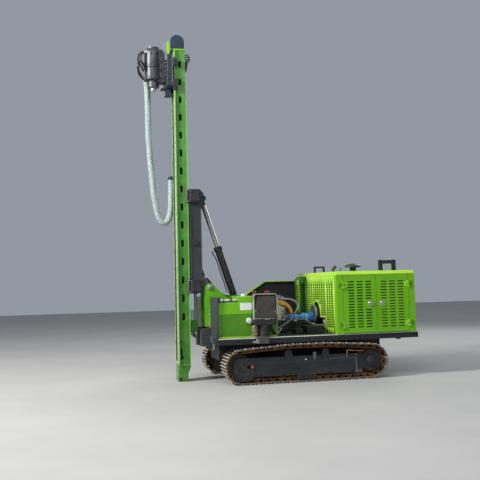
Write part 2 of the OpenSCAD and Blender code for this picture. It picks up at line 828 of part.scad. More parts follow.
// The air duct beside the bay, its walls set in by t: chamfered to the front and towards the middle
module duct(t) {
    front = hood_front + duct_d - t;
    outer = -duct_in - duct_w + t;
    inner = -duct_in - t;
    top = eave_z - t;
    cut = duct_cut - t / 2;
    intersection() {
        span_y(outer, inner)
            polygon([[hood_front - 1, deck_z + t], [front, deck_z + t], [front, top - cut], [front - cut, top],
                [hood_front - 1, top]]);
        span_x(hood_front - 1, front)
            polygon([[outer, deck_z + t], [inner, deck_z + t], [inner, top - cut], [inner - cut, top],
                [outer, top]]);
    }
}

// The panel at the rear, with wide slots in front of the cooler
module hood_rear_grille() {
    wide_l = 440;
    wide_h = 24;
    wide_px = 560;
    wide_pz = 52;
    first_z = 102;
    placed() color(green)
        span_x(hood_rear, hood_rear + panel_t)
            difference() {
                translate([-panel_y, deck_z]) square([2 * panel_y, eave_z - deck_z]);
                for (c = [-1, 0, 1])
                    for (r = [0:14])
                        translate([c * wide_px - wide_l / 2, deck_z + first_z + r * wide_pz - wide_h / 2])
                            square([wide_l, wide_h]);
            }
}

// The folded cover on the right side: an upright sheet with a rim turned in along its top, slope and front
module side_cover() {
    rear = hood_front + slide_c;
    outline = [[rear, deck_z], [cover_front, deck_z], [cover_front, cover_low], [cover_turn, cover_z],
        [rear, cover_z]];
    inner = [[rear - 1, deck_z - 1], [cover_front - panel_t, deck_z - 1],
        [cover_front - panel_t, cover_low - panel_t / 2], [cover_turn - panel_t / 4, cover_z - panel_t],
        [rear - 1, cover_z - panel_t]];
    placed() color(deep_green) {
        span_y(-hood_y, -hood_y + panel_t) polygon(outline);
        span_y(-hood_y + panel_t - 1, -hood_y + cover_rim)
            difference() {
                polygon(outline);
                polygon(inner);
            }
    }
}

// The mushroom hat of the air intake on the roof
cap_x = (hood_front + hood_rear) / 2 + 218;
cap_y = 600;
module intake_cap() {
    stem_r = 53;
    hat_r = 135;
    hat_low = 70;
    placed() color(black) translate([cap_x, cap_y, hood_z]) {
        cylinder(r = stem_r, h = hat_low + 1);
        translate([0, 0, hat_low]) cylinder(r = hat_r, h = 22);
        translate([0, 0, hat_low + 22]) cylinder(r1 = hat_r, r2 = hat_r * 0.62, h = 38);
    }
}

// Two handles on the roof, each a pair of legs under a bar along X, from x0 to x1 at y
arch_t = 32;
module roof_arch(x0, x1, y, h, leg, bar) {
    block(x0, x0 + leg, y - arch_t / 2, y + arch_t / 2, hood_z, hood_z + h);
    block(x1 - leg, x1, y - arch_t / 2, y + arch_t / 2, hood_z, hood_z + h);
    block(x0, x1, y - arch_t / 2, y + arch_t / 2, hood_z + h - bar, hood_z + h);
}
rear_arch = [hood_rear + 127, hood_rear + 435];
front_arch = [hood_front - 386, hood_front - 186];
module roof_arches() {
    placed() color(black) {
        roof_arch(rear_arch[0], rear_arch[1], cap_y, 180, 70, 60);
        roof_arch(front_arch[0], front_arch[1], -cap_y - 20, 120, 30, 30);
    }
}

// The console's inner and outer faces, and its middle
console_y0 = tank_out + 14;
console_y1 = overall_w / 2 - 10;
console_y = (console_y0 + console_y1) / 2;
module console_box() {
    placed() color(dark)
        span_y(console_y0, console_y1)
            polygon([[console_rear + 60, console_low], [console_front, console_low],
                [console_front, console_top], [console_rear, console_top], [console_rear, console_low + 120]]);
}
module console_post() {
    post_r = 26;
    arm = 30;
    rings = 7;
    placed() color([0.7, 0.62, 0.45]) {
        translate([post_x, console_y, deck_z]) {
            cylinder(r = post_r, h = console_low - deck_z);
            cylinder(r = post_r + 24, h = 14);
            for (i = [0:rings - 1])
                translate([0, 0, 50 + i * 20]) cylinder(r = post_r + 16, h = 11);
        }
        block(post_x - arm, post_x + arm, tank_out + slide_c, console_y, deck_z + 14, deck_z + 46);
    }
}
module console_levers() {
    placed() color([0.75, 0.1, 0.08])
        for (x = [console_rear + 140, console_front - 48])
            for (i = [-1, 1])
                translate([x + i * 20, console_y, console_top]) {
                    cylinder(r = 6, h = 20);
                    translate([0, 0, 20]) cylinder(r = 13, h = 26);
                }
}
module console_lamp() {
    lamp_r = 48;
    lamp_z = console_low + 72;
    stay = 16;
    placed() color("white") {
        bar_y(console_front + lamp_r + 4, lamp_z, lamp_r, console_y0 - 10, console_y0 + 50);
        block(console_front, console_front + 30, console_y0 + 4, console_y0 + 34, lamp_z - stay, lamp_z + stay);
    }
}

// The turning plate, its two cheeks, the tilt pin and the cylinder's foot pin
disc_x = ring_x + ring_t + slide_c;
module swing_bracket() {
    column_x = disc_x + disc_t + 88;
    column_low = swing_z - 122;
    shelf_z = foot_z - 52;
    shelf_t = 14;
    cap_t = 14;
    cheek_out = cheek_y + cheek_t;
    cheek = [[disc_x + disc_t, column_low], [column_x, column_low], [column_x, pivot_z - 65],
        [pivot_x + 78, pivot_z + 25], [pivot_x + 48, pivot_z + 60], [pivot_x, pivot_z + 70],
        [pivot_x - 47, pivot_z + 55], [foot_x + 191, foot_z + 34], [foot_x + 25, foot_z + 52],
        [foot_x - 20, foot_z + 56], [foot_x - 62, foot_z + 20], [foot_x - 62, foot_z - 38],
        [foot_x - 20, foot_z - 70], [disc_x, foot_z - 76], [disc_x + disc_t, pivot_z - 285]];
    placed() color(green) {
        bar_x(0, swing_z, ring_r - 6, disc_x, disc_x + disc_t);
        both_sides() span_y(cheek_y, cheek_out) polygon(cheek);
        block(disc_x, disc_x + shelf_t, -cheek_y - 1, cheek_y + 1, swing_z + ring_r * 0.5, shelf_z + shelf_t);
        block(foot_x + 150, disc_x + shelf_t, -cheek_y - 1, cheek_y + 1, shelf_z, shelf_z + shelf_t);
        bar_y(pivot_x, pivot_z, pivot_pin_r, -cheek_out - cap_t, cheek_out + cap_t);
        both_sides() bar_y(pivot_x, pivot_z, pivot_pin_r + cap_t, cheek_out, cheek_out + cap_t);
        bar_y(foot_x, foot_z, foot_pin_r, -cheek_out - 10, cheek_out + 10);
    }
}

// Places a piece that is drawn along X from the foot pin onto the cylinder's line
eye_a = atan2(eye_z - foot_z, eye_x - foot_x);
eye_l = norm([eye_x - foot_x, eye_z - foot_z]);
module on_cylinder() { translate([foot_x, 0, foot_z]) rotate([0, -eye_a, 0]) children(); }

module tilt_barrel() {
    gland_l = 70;
    gland_r = barrel_r + 8;
    bore_x = 100;
    pipe_r = 12;
    pipe_y = barrel_r + 18;
    lug_y = 60;
    placed() color(black) on_cylinder()
        difference() {
            union() {
                bar_x(0, 0, barrel_r, lug_y, barrel_l - gland_l / 2);
                bar_x(0, 0, gland_r, barrel_l - gland_l, barrel_l);
                bar_y(0, 0, foot_pin_r + 30, -lug_y, lug_y);
                block(0, gland_l, -lug_y * 0.8, lug_y * 0.8, -40, 40);
                bar_x(pipe_y, 0, pipe_r, bore_x + 10, barrel_l - 40);
                block(bore_x + 20, bore_x + 60, 40, pipe_y, -10, 10);
                block(barrel_l - gland_l, barrel_l - 40, 40, pipe_y, -10, 10);
            }
            bar_x(0, 0, rod_r + slide_c, bore_x, barrel_l + 1);
            bar_y(0, 0, foot_pin_r + pin_c, -lug_y - 1, lug_y + 1);
        }
}
module tilt_rod() {
    end_r = 58;
    end_y = 55;
    placed() color(steel) on_cylinder() {
        bar_x(0, 0, rod_r, eye_l - rod_l, eye_l);
        bar_y(eye_l, 0, end_r, -end_y, end_y);
    }
}

// The cradle: a channel open to the rear, with the tilt bosses below and the rod's cheeks above
floor_t = 24;
module cradle() {
    tube_r = pivot_pin_r + 16;
    inner_y = cradle_w - cradle_t;
    cheek = [[pivot_x + 6, pivot_z - 80], [cradle_rear + 50, cradle_low], [cradle_front, cradle_low],
        [cradle_front, cradle_top], [cradle_rear + 28, cradle_top], [cradle_rear - 38, cradle_top - 66],
        [cradle_rear - 43, eye_z - 57], [cradle_rear, eye_z - 170], [cradle_rear, pivot_z + 217],
        [pivot_x - 19, pivot_z + 64]];
    placed() color(slate)
        difference() {
            union() {
                both_sides() span_y(inner_y, cradle_w) polygon(cheek);
                both_sides() bar_y(pivot_x, pivot_z, tube_r + 28, inner_y - 14, cradle_w);
                bar_y(pivot_x, pivot_z, tube_r, -cradle_w, cradle_w);
                block(cradle_front - cradle_t, cradle_front, -cradle_w, cradle_w, cradle_low, cradle_top);
                block(lift_x - lift_r - 8, cradle_front, -cradle_w, cradle_w, cradle_low, cradle_low + floor_t);
                block(cradle_rear + 60, cradle_front, -cradle_w, cradle_w, cradle_top - cradle_t, cradle_top);
                both_sides() bar_y(boss_x, boss_z, 46, cradle_w, cradle_w + 12);
                both_sides() bar_y(eye_x, eye_z, 52, cradle_w, cradle_w + 14);
            }
            bar_y(pivot_x, pivot_z, pivot_pin_r + pin_c, -cradle_w - 1, cradle_w + 1);
            translate([lift_x, 0, cradle_low - 1]) cylinder(r = lift_rod_r + 6, h = floor_t + 2);
        }
}

// Four clamps that hold the mast's rear rails, two at each end of the cradle
grip_in = mast_w + 6;
module guide_clamps() {
    grip_out = rail_w + slide_c;
    clamp_out = rail_w + 34;
    arm_l = 165;
    end_in = 12;
    back = mast_rear - rail_t - slide_c;
    lip_t = 24;
    placed() color(black)
        both_sides()
            for (z = [cradle_low + end_in, cradle_top - clamp_h - end_in]) {
                block(cradle_front - arm_l, back, cradle_w + slide_c, clamp_out, z, z + clamp_h);
                block(cradle_front, back, grip_in, clamp_out, z, z + clamp_h);
                block(back - 1, mast_rear + slide_c, grip_out, clamp_out, z, z + clamp_h);
                block(mast_rear + slide_c, mast_rear + slide_c + lip_t, grip_in, clamp_out, z, z + clamp_h);
            }
}

lift_z = cradle_low + floor_t;
module lift_barrel() {
    stay_w = 30;
    stay_z = lift_z + lift_l - 90;
    placed() color(black)
        difference() {
            union() {
                translate([lift_x, 0, lift_z + slide_c]) cylinder(r = lift_r, h = lift_l);
                block(lift_x, cradle_front - cradle_t - slide_c, -stay_w, stay_w, stay_z, stay_z + 60);
            }
            translate([lift_x, 0, lift_z - 1]) cylinder(r = lift_rod_r + slide_c, h = lift_l - 40);
        }
}
module lift_rod() {
    rod_top = lift_z + 450;
    placed() color(steel) translate([lift_x, 0, lug_z]) cylinder(r = lift_rod_r, h = rod_top - lug_z);
}

// Slotted box with rails along both its faces, its rim, its foot with a keyhole and the lug of the lift rod
rim_t = 30;
module mast_column() {
    toe_x = mast_rear + 30;
    toe_d = 45;
    lug_w = 26;
    rim_d = 8;
    toe_z = 112;
    key_r = 32;
    key_w = 24;
    key_top = 248;
    key_top_r = 16;
    slots = [for (i = [0:mast_slots - 1]) slot_first + i * slot_pitch];
    placed() color(deep_green) {
        difference() {
            union() {
                block(mast_rear, mast_front, -mast_w, mast_w, foot_h, mast_top);
                block(mast_rear - rail_t, mast_rear, -rail_w, rail_w, foot_h, rail_top);
                block(mast_front - rail_t, mast_front, -rail_w, rail_w, foot_h, mast_top);
                block(mast_rear - rim_d, mast_front + rim_d, -mast_w - rim_d, mast_w + rim_d, mast_top - 1,
                    mast_top + rim_t);
            }
            block(mast_rear + mast_t, mast_front - mast_t, -mast_w + mast_t, mast_w - mast_t,
                foot_h - 1, mast_top + rim_t + 1);
            for (z = slots)
                span_y(-mast_w - 1, mast_w + 1) {
                    for (s = [-1, 1])
                        translate([(mast_rear + mast_front) / 2, z + s * (mast_slot_l - mast_slot_w) / 2])
                            circle(mast_slot_w / 2);
                    translate([(mast_rear + mast_front - mast_slot_w) / 2, z - (mast_slot_l - mast_slot_w) / 2])
                        square([mast_slot_w, mast_slot_l - mast_slot_w]);
                }
            span_y(-mast_w - 1, mast_w + 1) {
                translate([key_x, key_z]) circle(key_r);
                translate([key_x - key_w / 2, key_z]) square([key_w, key_l]);
                translate([key_x, key_z + key_top]) circle(key_top_r);
            }
        }
        span_y(-mast_w, mast_w)
            polygon([[mast_front, 0], [mast_front, foot_h], [mast_rear - rail_t, foot_h],
                [mast_rear - rail_t, foot_h - toe_d], [toe_x, toe_z], [toe_x, 0]]);
        block(lift_x - lift_rod_r - 6, mast_rear - rail_t + 1, -lug_w, lug_w, lug_z - lug_h, lug_z);
    }
}

// The round-topped plates over the mast with the chain's wheel between them, and the cover ahead of them
module mast_crown() {
    crown_x = (mast_rear + mast_front) / 2 + crown_dx;
    round_z = crown_top - crown_r;
    seat_z = mast_top + rim_t;
    wheel_r = crown_r - 22;
    wheel_w = 24;
    axle_r = 26;
    cover_d = 95;
    cover_w = 60;
    placed() color(slate) {
        both_sides() span_y(mast_w - mast_t, mast_w) {
            translate([crown_x, round_z]) circle(crown_r);
            translate([crown_x - crown_r, seat_z]) square([2 * crown_r, round_z - seat_z]);
        }
        bar_y(crown_x, round_z, wheel_r, -wheel_w, wheel_w);
        bar_y(crown_x, round_z, axle_r, -mast_w, mast_w);
        block(mast_front + 8 + slide_c, mast_front + cover_d, -cover_w, cover_w, carriage_top + 8,
            round_z + 28);
    }
}

// The feed chain down the mast's front face, as one flat strip
module feed_chain() {
    placed() color(dark)
        block(mast_front, mast_front + chain_t, -chain_w, chain_w, foot_h + 60, carriage_top);
}

hose_y = -300;
// The bundle's route from the head to its clamp on the mast, as [x, z]
hose_route = [[2335, 5060], [2323, 4900], [2317, 4700], [2315, 4400], [2308, 4100], [2292, 3800],
    [2272, 3550], [2250, 3250], [2222, 3040], [2185, 2830], [2145, 2700], [2100, 2635], [2060, 2615],
    [2015, 2640], [1975, 2715], [1950, 2850], [1940, 3010], [1935, 3180], [1935, 3350]];
module hose_bundle() {
    sides = 10;
    n = len(hose_route);
    function ahead(i) = hose_route[min(i + 1, n - 1)] - hose_route[max(i - 1, 0)];
    function side(i) = let (d = ahead(i) / norm(ahead(i))) [-d[1], d[0]];
    ring = [for (i = [0:n - 1]) for (j = [0:sides - 1])
        let (a = j * 360 / sides, s = side(i) * bundle_d / 2 * cos(a))
        [hose_route[i][0] + s[0], hose_y + bundle_d / 2 * sin(a), hose_route[i][1] + s[1]]];
    walls = [for (i = [0:n - 2]) for (j = [0:sides - 1])
        [i * sides + j, i * sides + (j + 1) % sides, (i + 1) * sides + (j + 1) % sides, (i + 1) * sides + j]];
    ends = [[for (j = [sides - 1:-1:0]) j], [for (j = [0:sides - 1]) (n - 1) * sides + j]];
    placed() color([0.7, 0.72, 0.72]) polyhedron(points = ring, faces = concat(walls, ends));
}

// The arm on the mast's side that holds the bundle's end in a collar
module hose_bracket() {
    hose_end = hose_route[len(hose_route) - 1];
    arm_x = mast_rear + 60;
    arm_z = hose_end[1] + 40;
    arm_l = 60;
    arm_t = 16;
    half = 32;
    placed() color(dark) {
        block(arm_x, arm_x + arm_l, hose_y - 10, -mast_w, arm_z, arm_z + arm_t);
        block(arm_x, hose_end[0] + half, hose_y - half, hose_y + half, arm_z, arm_z + arm_t);
        translate([hose_end[0], hose_y, hose_end[1]]) cylinder(r = bundle_d / 2 + 4, h = arm_z - hose_end[1] + 1);
    }
}

// X of the face where the head bolts to the carriage, and the half width of its block
head_back = head_x - head_r - 40;
head_block = 120;

// The plate that runs on the mast's front rails, with its flanges, clamps, feet and the head's mounting block
module carriage() {
    plate_t = 16;
    flange_d = 100;
    lip_t = 30;
    lip = mast_front - rail_t - slide_c;
    face = mast_front + slide_c;
    foot_w = 90;
    block_low = carriage_low - 20;
    plate_x = carriage_x + plate_t;
    placed() color(slate) {
        block(carriage_x, plate_x, -carriage_w, carriage_w, carriage_low, carriage_top);
        both_sides() block(carriage_x, carriage_x + flange_d, carriage_w - plate_t, carriage_w,
            carriage_low, carriage_top);
        both_sides()
            for (c = [[carriage_low - 62, 180], [carriage_top - 167, 115]]) {
                block(face, carriage_x + 1, grip_in - 30, carriage_w, c[0], c[0] + c[1]);
                block(lip - lip_t, face + 1, rail_w + slide_c, carriage_w, c[0], c[0] + c[1]);
                block(lip - lip_t, lip, grip_in, carriage_w, c[0], c[0] + c[1]);
            }
        block(plate_x - 1, head_back, -head_block, head_block, block_low, carriage_top - 60);
        block(head_back - 40, head_x - head_r * 0.85, -foot_w, foot_w, block_low - 13, block_low + 1);
        block(plate_x + 10, head_back - 20, -foot_w, foot_w, block_low - 110, block_low + 1);
        block(mast_front + chain_t + 6, head_back - 8, -foot_w, foot_w, block_low - 123, block_low - 103);
    }
}

// Neck, case, shoulder and cap of the drive head, with the block it is bolted on by
module drive_head() {
    neck_h = 120;
    neck_r = head_r * 0.667;
    shoulder_z = head_top - 90;
    cap_r = head_r * 0.72;
    cap_z = head_top - 32;
    placed() color(dark) translate([head_x, 0, 0]) {
        translate([0, 0, head_low]) cylinder(r = neck_r, h = neck_h + 1);
        translate([0, 0, head_low + neck_h]) cylinder(r = head_r, h = shoulder_z - head_low - neck_h);
        translate([0, 0, shoulder_z]) cylinder(r1 = head_r, r2 = cap_r, h = cap_z - shoulder_z);
        translate([0, 0, cap_z - 1]) cylinder(r = cap_r, h = head_top - cap_z + 1);
        block(head_back - head_x, 0, -head_block + 10, head_block - 10, head_low + 80, head_top - 100);
    }
}
module spindle() {
    collar_r = 60;
    collar_h = 12;
    collar_z = head_low - slide_c - collar_h;
    placed() color(steel) translate([head_x, 0, 0]) {
        translate([0, 0, collar_z]) cylinder(r = collar_r, h = collar_h);
        translate([0, 0, collar_z - spindle_l]) cylinder(r = spindle_r, h = spindle_l + 1);
    }
}

center_frame();
cross_arms();
deck_plate();
deck_beams();
front_frame();
track_frame_left();
track_frame_right();
track_left();
track_right();
idlers();
sprockets();
rollers();
swing_ring();
tank_left();
tank_right();
engine_block();
bell_housing();
pump();
valve_block();
hood_posts();
hood_roof();
hood_front_grille();
hood_rear_grille();
side_cover();
intake_cap();
roof_arches();
console_box();
console_post();
console_levers();
console_lamp();
door_left_front();
door_left_rear();
door_right_front();
door_right_rear();
swing_bracket();
tilt_barrel();
tilt_rod();
cradle();
guide_clamps();
lift_barrel();
lift_rod();
mast_column();
mast_crown();
feed_chain();
hose_bracket();
hose_bundle();
carriage();
drive_head();
spindle();
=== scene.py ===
import math

import bmesh
import bpy
from mathutils import Matrix, Vector


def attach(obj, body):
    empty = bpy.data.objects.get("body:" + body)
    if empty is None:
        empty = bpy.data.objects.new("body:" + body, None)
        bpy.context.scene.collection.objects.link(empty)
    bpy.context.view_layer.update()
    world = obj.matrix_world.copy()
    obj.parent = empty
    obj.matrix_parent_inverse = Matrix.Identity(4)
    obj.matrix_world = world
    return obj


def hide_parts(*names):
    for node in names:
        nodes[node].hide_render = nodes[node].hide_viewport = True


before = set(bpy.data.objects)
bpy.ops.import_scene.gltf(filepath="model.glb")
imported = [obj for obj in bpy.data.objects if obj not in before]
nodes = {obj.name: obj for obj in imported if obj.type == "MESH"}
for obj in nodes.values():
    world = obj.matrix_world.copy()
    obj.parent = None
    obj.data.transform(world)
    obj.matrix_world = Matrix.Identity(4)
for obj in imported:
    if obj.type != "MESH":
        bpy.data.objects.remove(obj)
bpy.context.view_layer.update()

# The camera stands where the photographer did, far off on the machine's left, a little behind the middle
# of its length and 1.5 m up, and it is held slightly tilted. Only the picture's crop needs the shift.
camera_place = (3.6095, 12.9822, 1.5198)
camera_turn = math.radians(165.787)
camera_rise = math.radians(5.221)
camera_roll = math.radians(-1.442)
look = Vector(
    (-math.sin(camera_turn) * math.cos(camera_rise), math.cos(camera_turn) * math.cos(camera_rise),
     math.sin(camera_rise)))
level = Vector((math.cos(camera_turn), math.sin(camera_turn), 0))
upward = level.cross(look)
side = level * math.cos(camera_roll) + upward * math.sin(camera_roll)
upward = upward * math.cos(camera_roll) - level * math.sin(camera_roll)
camera = bpy.data.objects.new("camera", bpy.data.cameras.new("camera"))
camera.matrix_world = Matrix.Translation(camera_place) @ Matrix((side, upward, -look)).transposed().to_4x4()
camera.data.lens = 59.16
camera.data.sensor_width = 36
camera.data.shift_x = -0.0281
camera.data.shift_y = -0.0552
camera.data.clip_end = 200
bpy.context.scene.collection.objects.link(camera)
bpy.context.scene.camera = camera


# The studio: a pale floor under a pale sky, a large warm key from the mast's side, high up, a broad cool
# fill from where the camera stands, and a weaker light from behind the hood.
def studio_light(name, place, aim, size, power, tone):
    lamp = bpy.data.lights.new(name, "AREA")
    lamp.size = size
    lamp.energy = power
    lamp.color = tone
    holder = bpy.data.objects.new(name, lamp)
    holder.location = place
    holder.rotation_euler = (Vector(aim) - Vector(place)).to_track_quat("-Z", "Y").to_euler()
    bpy.context.scene.collection.objects.link(holder)


machine_middle = (0, 0, 1.6)
studio_light("key", (13, 4.5, 10), machine_middle, 3.0, 3300, (1.0, 0.96, 0.88))
studio_light("fill", (4, 11, 12), machine_middle, 6, 700, (0.92, 0.96, 1.0))
studio_light("back", (-9, -8, 8), machine_middle, 6, 500, (1.0, 0.98, 0.95))
sky = bpy.data.worlds.new("studio_sky")
sky.use_nodes = True
sky.node_tree.nodes["Background"].inputs[0].default_value = (0.8, 0.88, 1.0, 1)
sky.node_tree.nodes["Background"].inputs[1].default_value = 0.36
bpy.context.scene.world = sky
bpy.context.scene.view_settings.view_transform = "Standard"

floor_mesh = bpy.data.meshes.new("studio_floor")
floor_half = 40
floor_mesh.from_pydata(
    [(-floor_half, -floor_half, 0), (floor_half, -floor_half, 0), (floor_half, floor_half, 0),
     (-floor_half, floor_half, 0)], [], [(0, 1, 2, 3)])
floor = bpy.data.objects.new("studio_floor", floor_mesh)
bpy.context.scene.collection.objects.link(floor)


def coating(name, tone, deep, rough, metal=0.0, patch=3.0, grain=90.0, relief=0.08, dust=0.25,
        dust_tone=(0.33, 0.29, 0.22), worn=None, wear=0.0, coat=0.0, stretch=(1, 1, 1), lower=None):
    material = bpy.data.materials.new(name)
    material.use_nodes = True
    tree = material.node_tree
    shader = tree.nodes["Principled BSDF"]
    shader.inputs["Metallic"].default_value = metal
    shader.inputs["Coat Weight"].default_value = coat * 0.4
    shader.inputs["Specular IOR Level"].default_value = 0.36
    shader.inputs["Coat Roughness"].default_value = 0.12

    def node(kind, **values):
        made = tree.nodes.new(kind)
        for key, value in values.items():
            if key == "operation":
                setattr(made, key, value)
            else:
                made.inputs[key].default_value = value
        return made

    def joined(out, into):
        tree.links.new(out, into)

    place = node("ShaderNodeTexCoord")
    spread = node("ShaderNodeMapping")
    spread.inputs["Scale"].default_value = stretch
    joined(place.outputs["Object"], spread.inputs["Vector"])

    def noise(scale, detail, roughness=0.6):
        made = node("ShaderNodeTexNoise", Scale=scale, Detail=detail, Roughness=roughness)
        joined(spread.outputs[0], made.inputs["Vector"])
        return made.outputs["Fac"]

    def ranged(value, low, high, to_low=0.0, to_high=1.0):
        made = node("ShaderNodeMapRange")
        joined(value, made.inputs["Value"])
        for key, number in (("From Min", low), ("From Max", high), ("To Min", to_low), ("To Max", to_high)):
            made.inputs[key].default_value = number
        return made.outputs["Result"]

    def blended(amount, first, second):
        made = tree.nodes.new("ShaderNodeMix")
        made.data_type = "RGBA"
        joined(amount, made.inputs["Factor"])
        for socket, value in ((made.inputs["A"], first), (made.inputs["B"], second)):
            if isinstance(value, tuple):
                socket.default_value = (*value, 1)
            else:
                joined(value, socket)
        return made.outputs["Result"]

    def times(first, second):
        made = node("ShaderNodeMath", operation="MULTIPLY")
        joined(first, made.inputs[0])
        if isinstance(second, (int, float)):
            made.inputs[1].default_value = second
        else:
            joined(second, made.inputs[1])
        return made.outputs[0]

    patches = noise(patch, 6)
    grains = noise(grain, 4)
    colour = blended(ranged(patches, 0.35, 0.65), deep, tone)
    if lower:
        # lower holds the deeper tone of the foot and the heights between which it gives way
        height = node("ShaderNodeSeparateXYZ")
        joined(place.outputs["Object"], height.inputs[0])
        colour = blended(ranged(height.outputs["Z"], lower[1], lower[2]), lower[0], colour)
    shape = node("ShaderNodeNewGeometry")
    if worn:
        edges = times(ranged(shape.outputs["Pointiness"], 0.515, 0.56), ranged(noise(patch * 9, 5), 0.4, 0.6))
        spots = ranged(noise(patch * 5, 8, 0.75), 0.66, 0.72, 0, wear)
        either = node("ShaderNodeMath", operation="MAXIMUM")
        joined(times(edges, wear), either.inputs[0])
        joined(spots, either.inputs[1])
        colour = blended(either.outputs[0], colour, worn)
    if dust:
        facing = node("ShaderNodeSeparateXYZ")
        joined(shape.outputs["Normal"], facing.inputs[0])
        settled = times(ranged(facing.outputs["Z"], 0.1, 0.95, 0.18, 1.0), ranged(noise(patch * 2.3, 7), 0.3, 0.7))
        colour = blended(times(settled, dust), colour, dust_tone)
    joined(colour, shader.inputs["Base Color"])
    joined(ranged(grains, 0.3, 0.7, max(0.05, rough - 0.09), min(1.0, rough + 0.12)), shader.inputs["Roughness"])
    swell = node("ShaderNodeBump", Strength=relief, Distance=0.004)
    joined(grains, swell.inputs["Height"])
    joined(swell.outputs["Normal"], shader.inputs["Normal"])
    return material


floor_finish = coating("pale_floor", (0.42, 0.42, 0.415), (0.38, 0.38, 0.38), 0.85, patch=0.5, grain=30, dust=0)
floor.data.materials.append(floor_finish)


# Every made piece is built up from blocks, turned rods and folded plates, and gets its edges rounded. Its
# places count forward from the tracks' middle, which lies machine_shift behind the middle of the frame.
machine_shift = -0.256
box_loops = [(0, 1, 3, 2), (4, 6, 7, 5), (0, 4, 5, 1), (2, 3, 7, 6), (0, 2, 6, 4), (1, 5, 7, 3)]


def around(count, reach, start=0.0):
    # points spread evenly on a circle
    return [(reach * math.cos(start + angle), reach * math.sin(start + angle))
        for angle in (2 * math.pi * k / count for k in range(count))]


def rounded(solid, width, segments, least_angle):
    rounding = solid.modifiers.new("rounded_edges", "BEVEL")
    rounding.width = width
    rounding.segments = segments
    rounding.limit_method = "ANGLE"
    rounding.angle_limit = math.radians(least_angle)


class Piece:
    def __init__(self, name):
        self.name = name
        self.form = bmesh.new()

    def put(self, place):
        return self.form.verts.new((place[0] + machine_shift, place[1], place[2]))

    def faces(self, corners, loops):
        made = [self.put(corner) for corner in corners]
        for loop in loops:
            self.form.faces.new([made[i] for i in loop])
        return self

    def skin(self, rings, shut=True):
        # faces from ring to ring of placed points, and over both ends
        count = len(rings[0])
        for near, far in zip(rings, rings[1:]):
            for k in range(count):
                self.form.faces.new((near[k], near[(k + 1) % count], far[(k + 1) % count], far[k]))
        if shut:
            self.form.faces.new(rings[0][::-1])
            self.form.faces.new(rings[-1])
        return self

    def prism(self, near, far, shut=True):
        # two outlines with as many corners each, joined by flat sides
        count = len(near)
        ends = [tuple(range(count))[::-1], tuple(range(count, 2 * count))] if shut else []
        sides = [(i, (i + 1) % count, count + (i + 1) % count, count + i) for i in range(count)]
        return self.faces([*near, *far], ends + sides)

    def block(self, x0, x1, y0, y1, z0, z1, turn=None):
        corners = [Vector((x, y, z)) for x in (x0, x1) for y in (y0, y1) for z in (z0, z1)]
        if turn:
            centre = Vector(((x0 + x1) / 2, (y0 + y1) / 2, (z0 + z1) / 2))
            spin = Matrix.Rotation(math.radians(turn[1]), 3, turn[0])
            corners = [centre + spin @ (corner - centre) for corner in corners]
        return self.faces(corners, box_loops)

    def turned(self, start, end, profile, sides=32, shut=True):
        # profile holds (share of the way from start to end, radius) for a round piece
        start, end = Vector(start), Vector(end)
        axis = (end - start).normalized()
        across = axis.orthogonal().normalized()
        other = axis.cross(across)
        rings = []
        for share, radius in profile:
            middle = start + (end - start) * share
            rings.append([self.put(middle + across * u + other * v) for u, v in around(sides, radius)])
        return self.skin(rings, shut)

    def rod(self, start, end, radius, sides=20):
        return self.turned(start, end, [(0, radius), (1, radius)], sides)

    def ring(self, start, end, radius, hole, sides=40):
        return self.turned(start, end, [(0, hole), (0, radius), (1, radius), (1, hole), (0, hole)], sides, shut=False)

    def profile(self, outline, low, high, along="y"):
        # outline holds (x, z) points for a plate across y, (y, z) across x, or (x, y) across z
        def corner(point, depth):
            return {"y": (point[0], depth, point[1]), "x": (depth, *point), "z": (*point, depth)}[along]
        return self.prism(*([corner(point, depth) for point in outline] for depth in (low, high)))

    def bolt(self, place, axis, radius=0.011, height=0.008, washer=True):
        place, axis = Vector(place), Vector(axis).normalized()
        if washer:
            self.turned(place, place + axis * 0.003, [(0, radius * 1.5), (1, radius * 1.5)], 16)
        return self.turned(place, place + axis * height, [(0, radius), (0.8, radius), (1, radius * 0.8)], 6)

    def done(self, finish, body="chassis", bevel=0.001, segments=2, stands_for=(), slot=None, smooth=35):
        bmesh.ops.recalc_face_normals(self.form, faces=self.form.faces)
        mesh = bpy.data.meshes.new(self.name)
        self.form.to_mesh(mesh)
        self.form.free()
        made = bpy.data.objects.new(self.name, mesh)
        bpy.context.scene.collection.objects.link(made)
        mesh.materials.append(finish)
        for face in mesh.polygons:
            face.use_smooth = True
        if bevel:
            rounded(made, bevel, segments, 40)
        mesh.set_sharp_from_angle(angle=math.radians(smooth))
        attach(made, body)
        if stands_for:
            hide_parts(*stands_for)
        return made


# A hose or pipe: rubber or steel of round section that runs through a few bends, as one curve that passes
# smoothly through them and is closed at both ends.
def hose(name, points, radius, finish, body="chassis"):
    line = bpy.data.curves.new(name, "CURVE")
    line.dimensions = "3D"
    line.resolution_u = 10
    line.bevel_depth = radius
    line.bevel_resolution = 5
    line.use_fill_caps = True
    spline = line.splines.new("BEZIER")
    spline.bezier_points.add(len(points) - 1)
    for knot, (x, y, z) in zip(spline.bezier_points, points):
        knot.co = (x + machine_shift, y, z)
        knot.handle_left_type = knot.handle_right_type = "AUTO"
    made = bpy.data.objects.new(name, line)
    bpy.context.scene.collection.objects.link(made)
    line.materials.append(finish)
    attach(made, body)


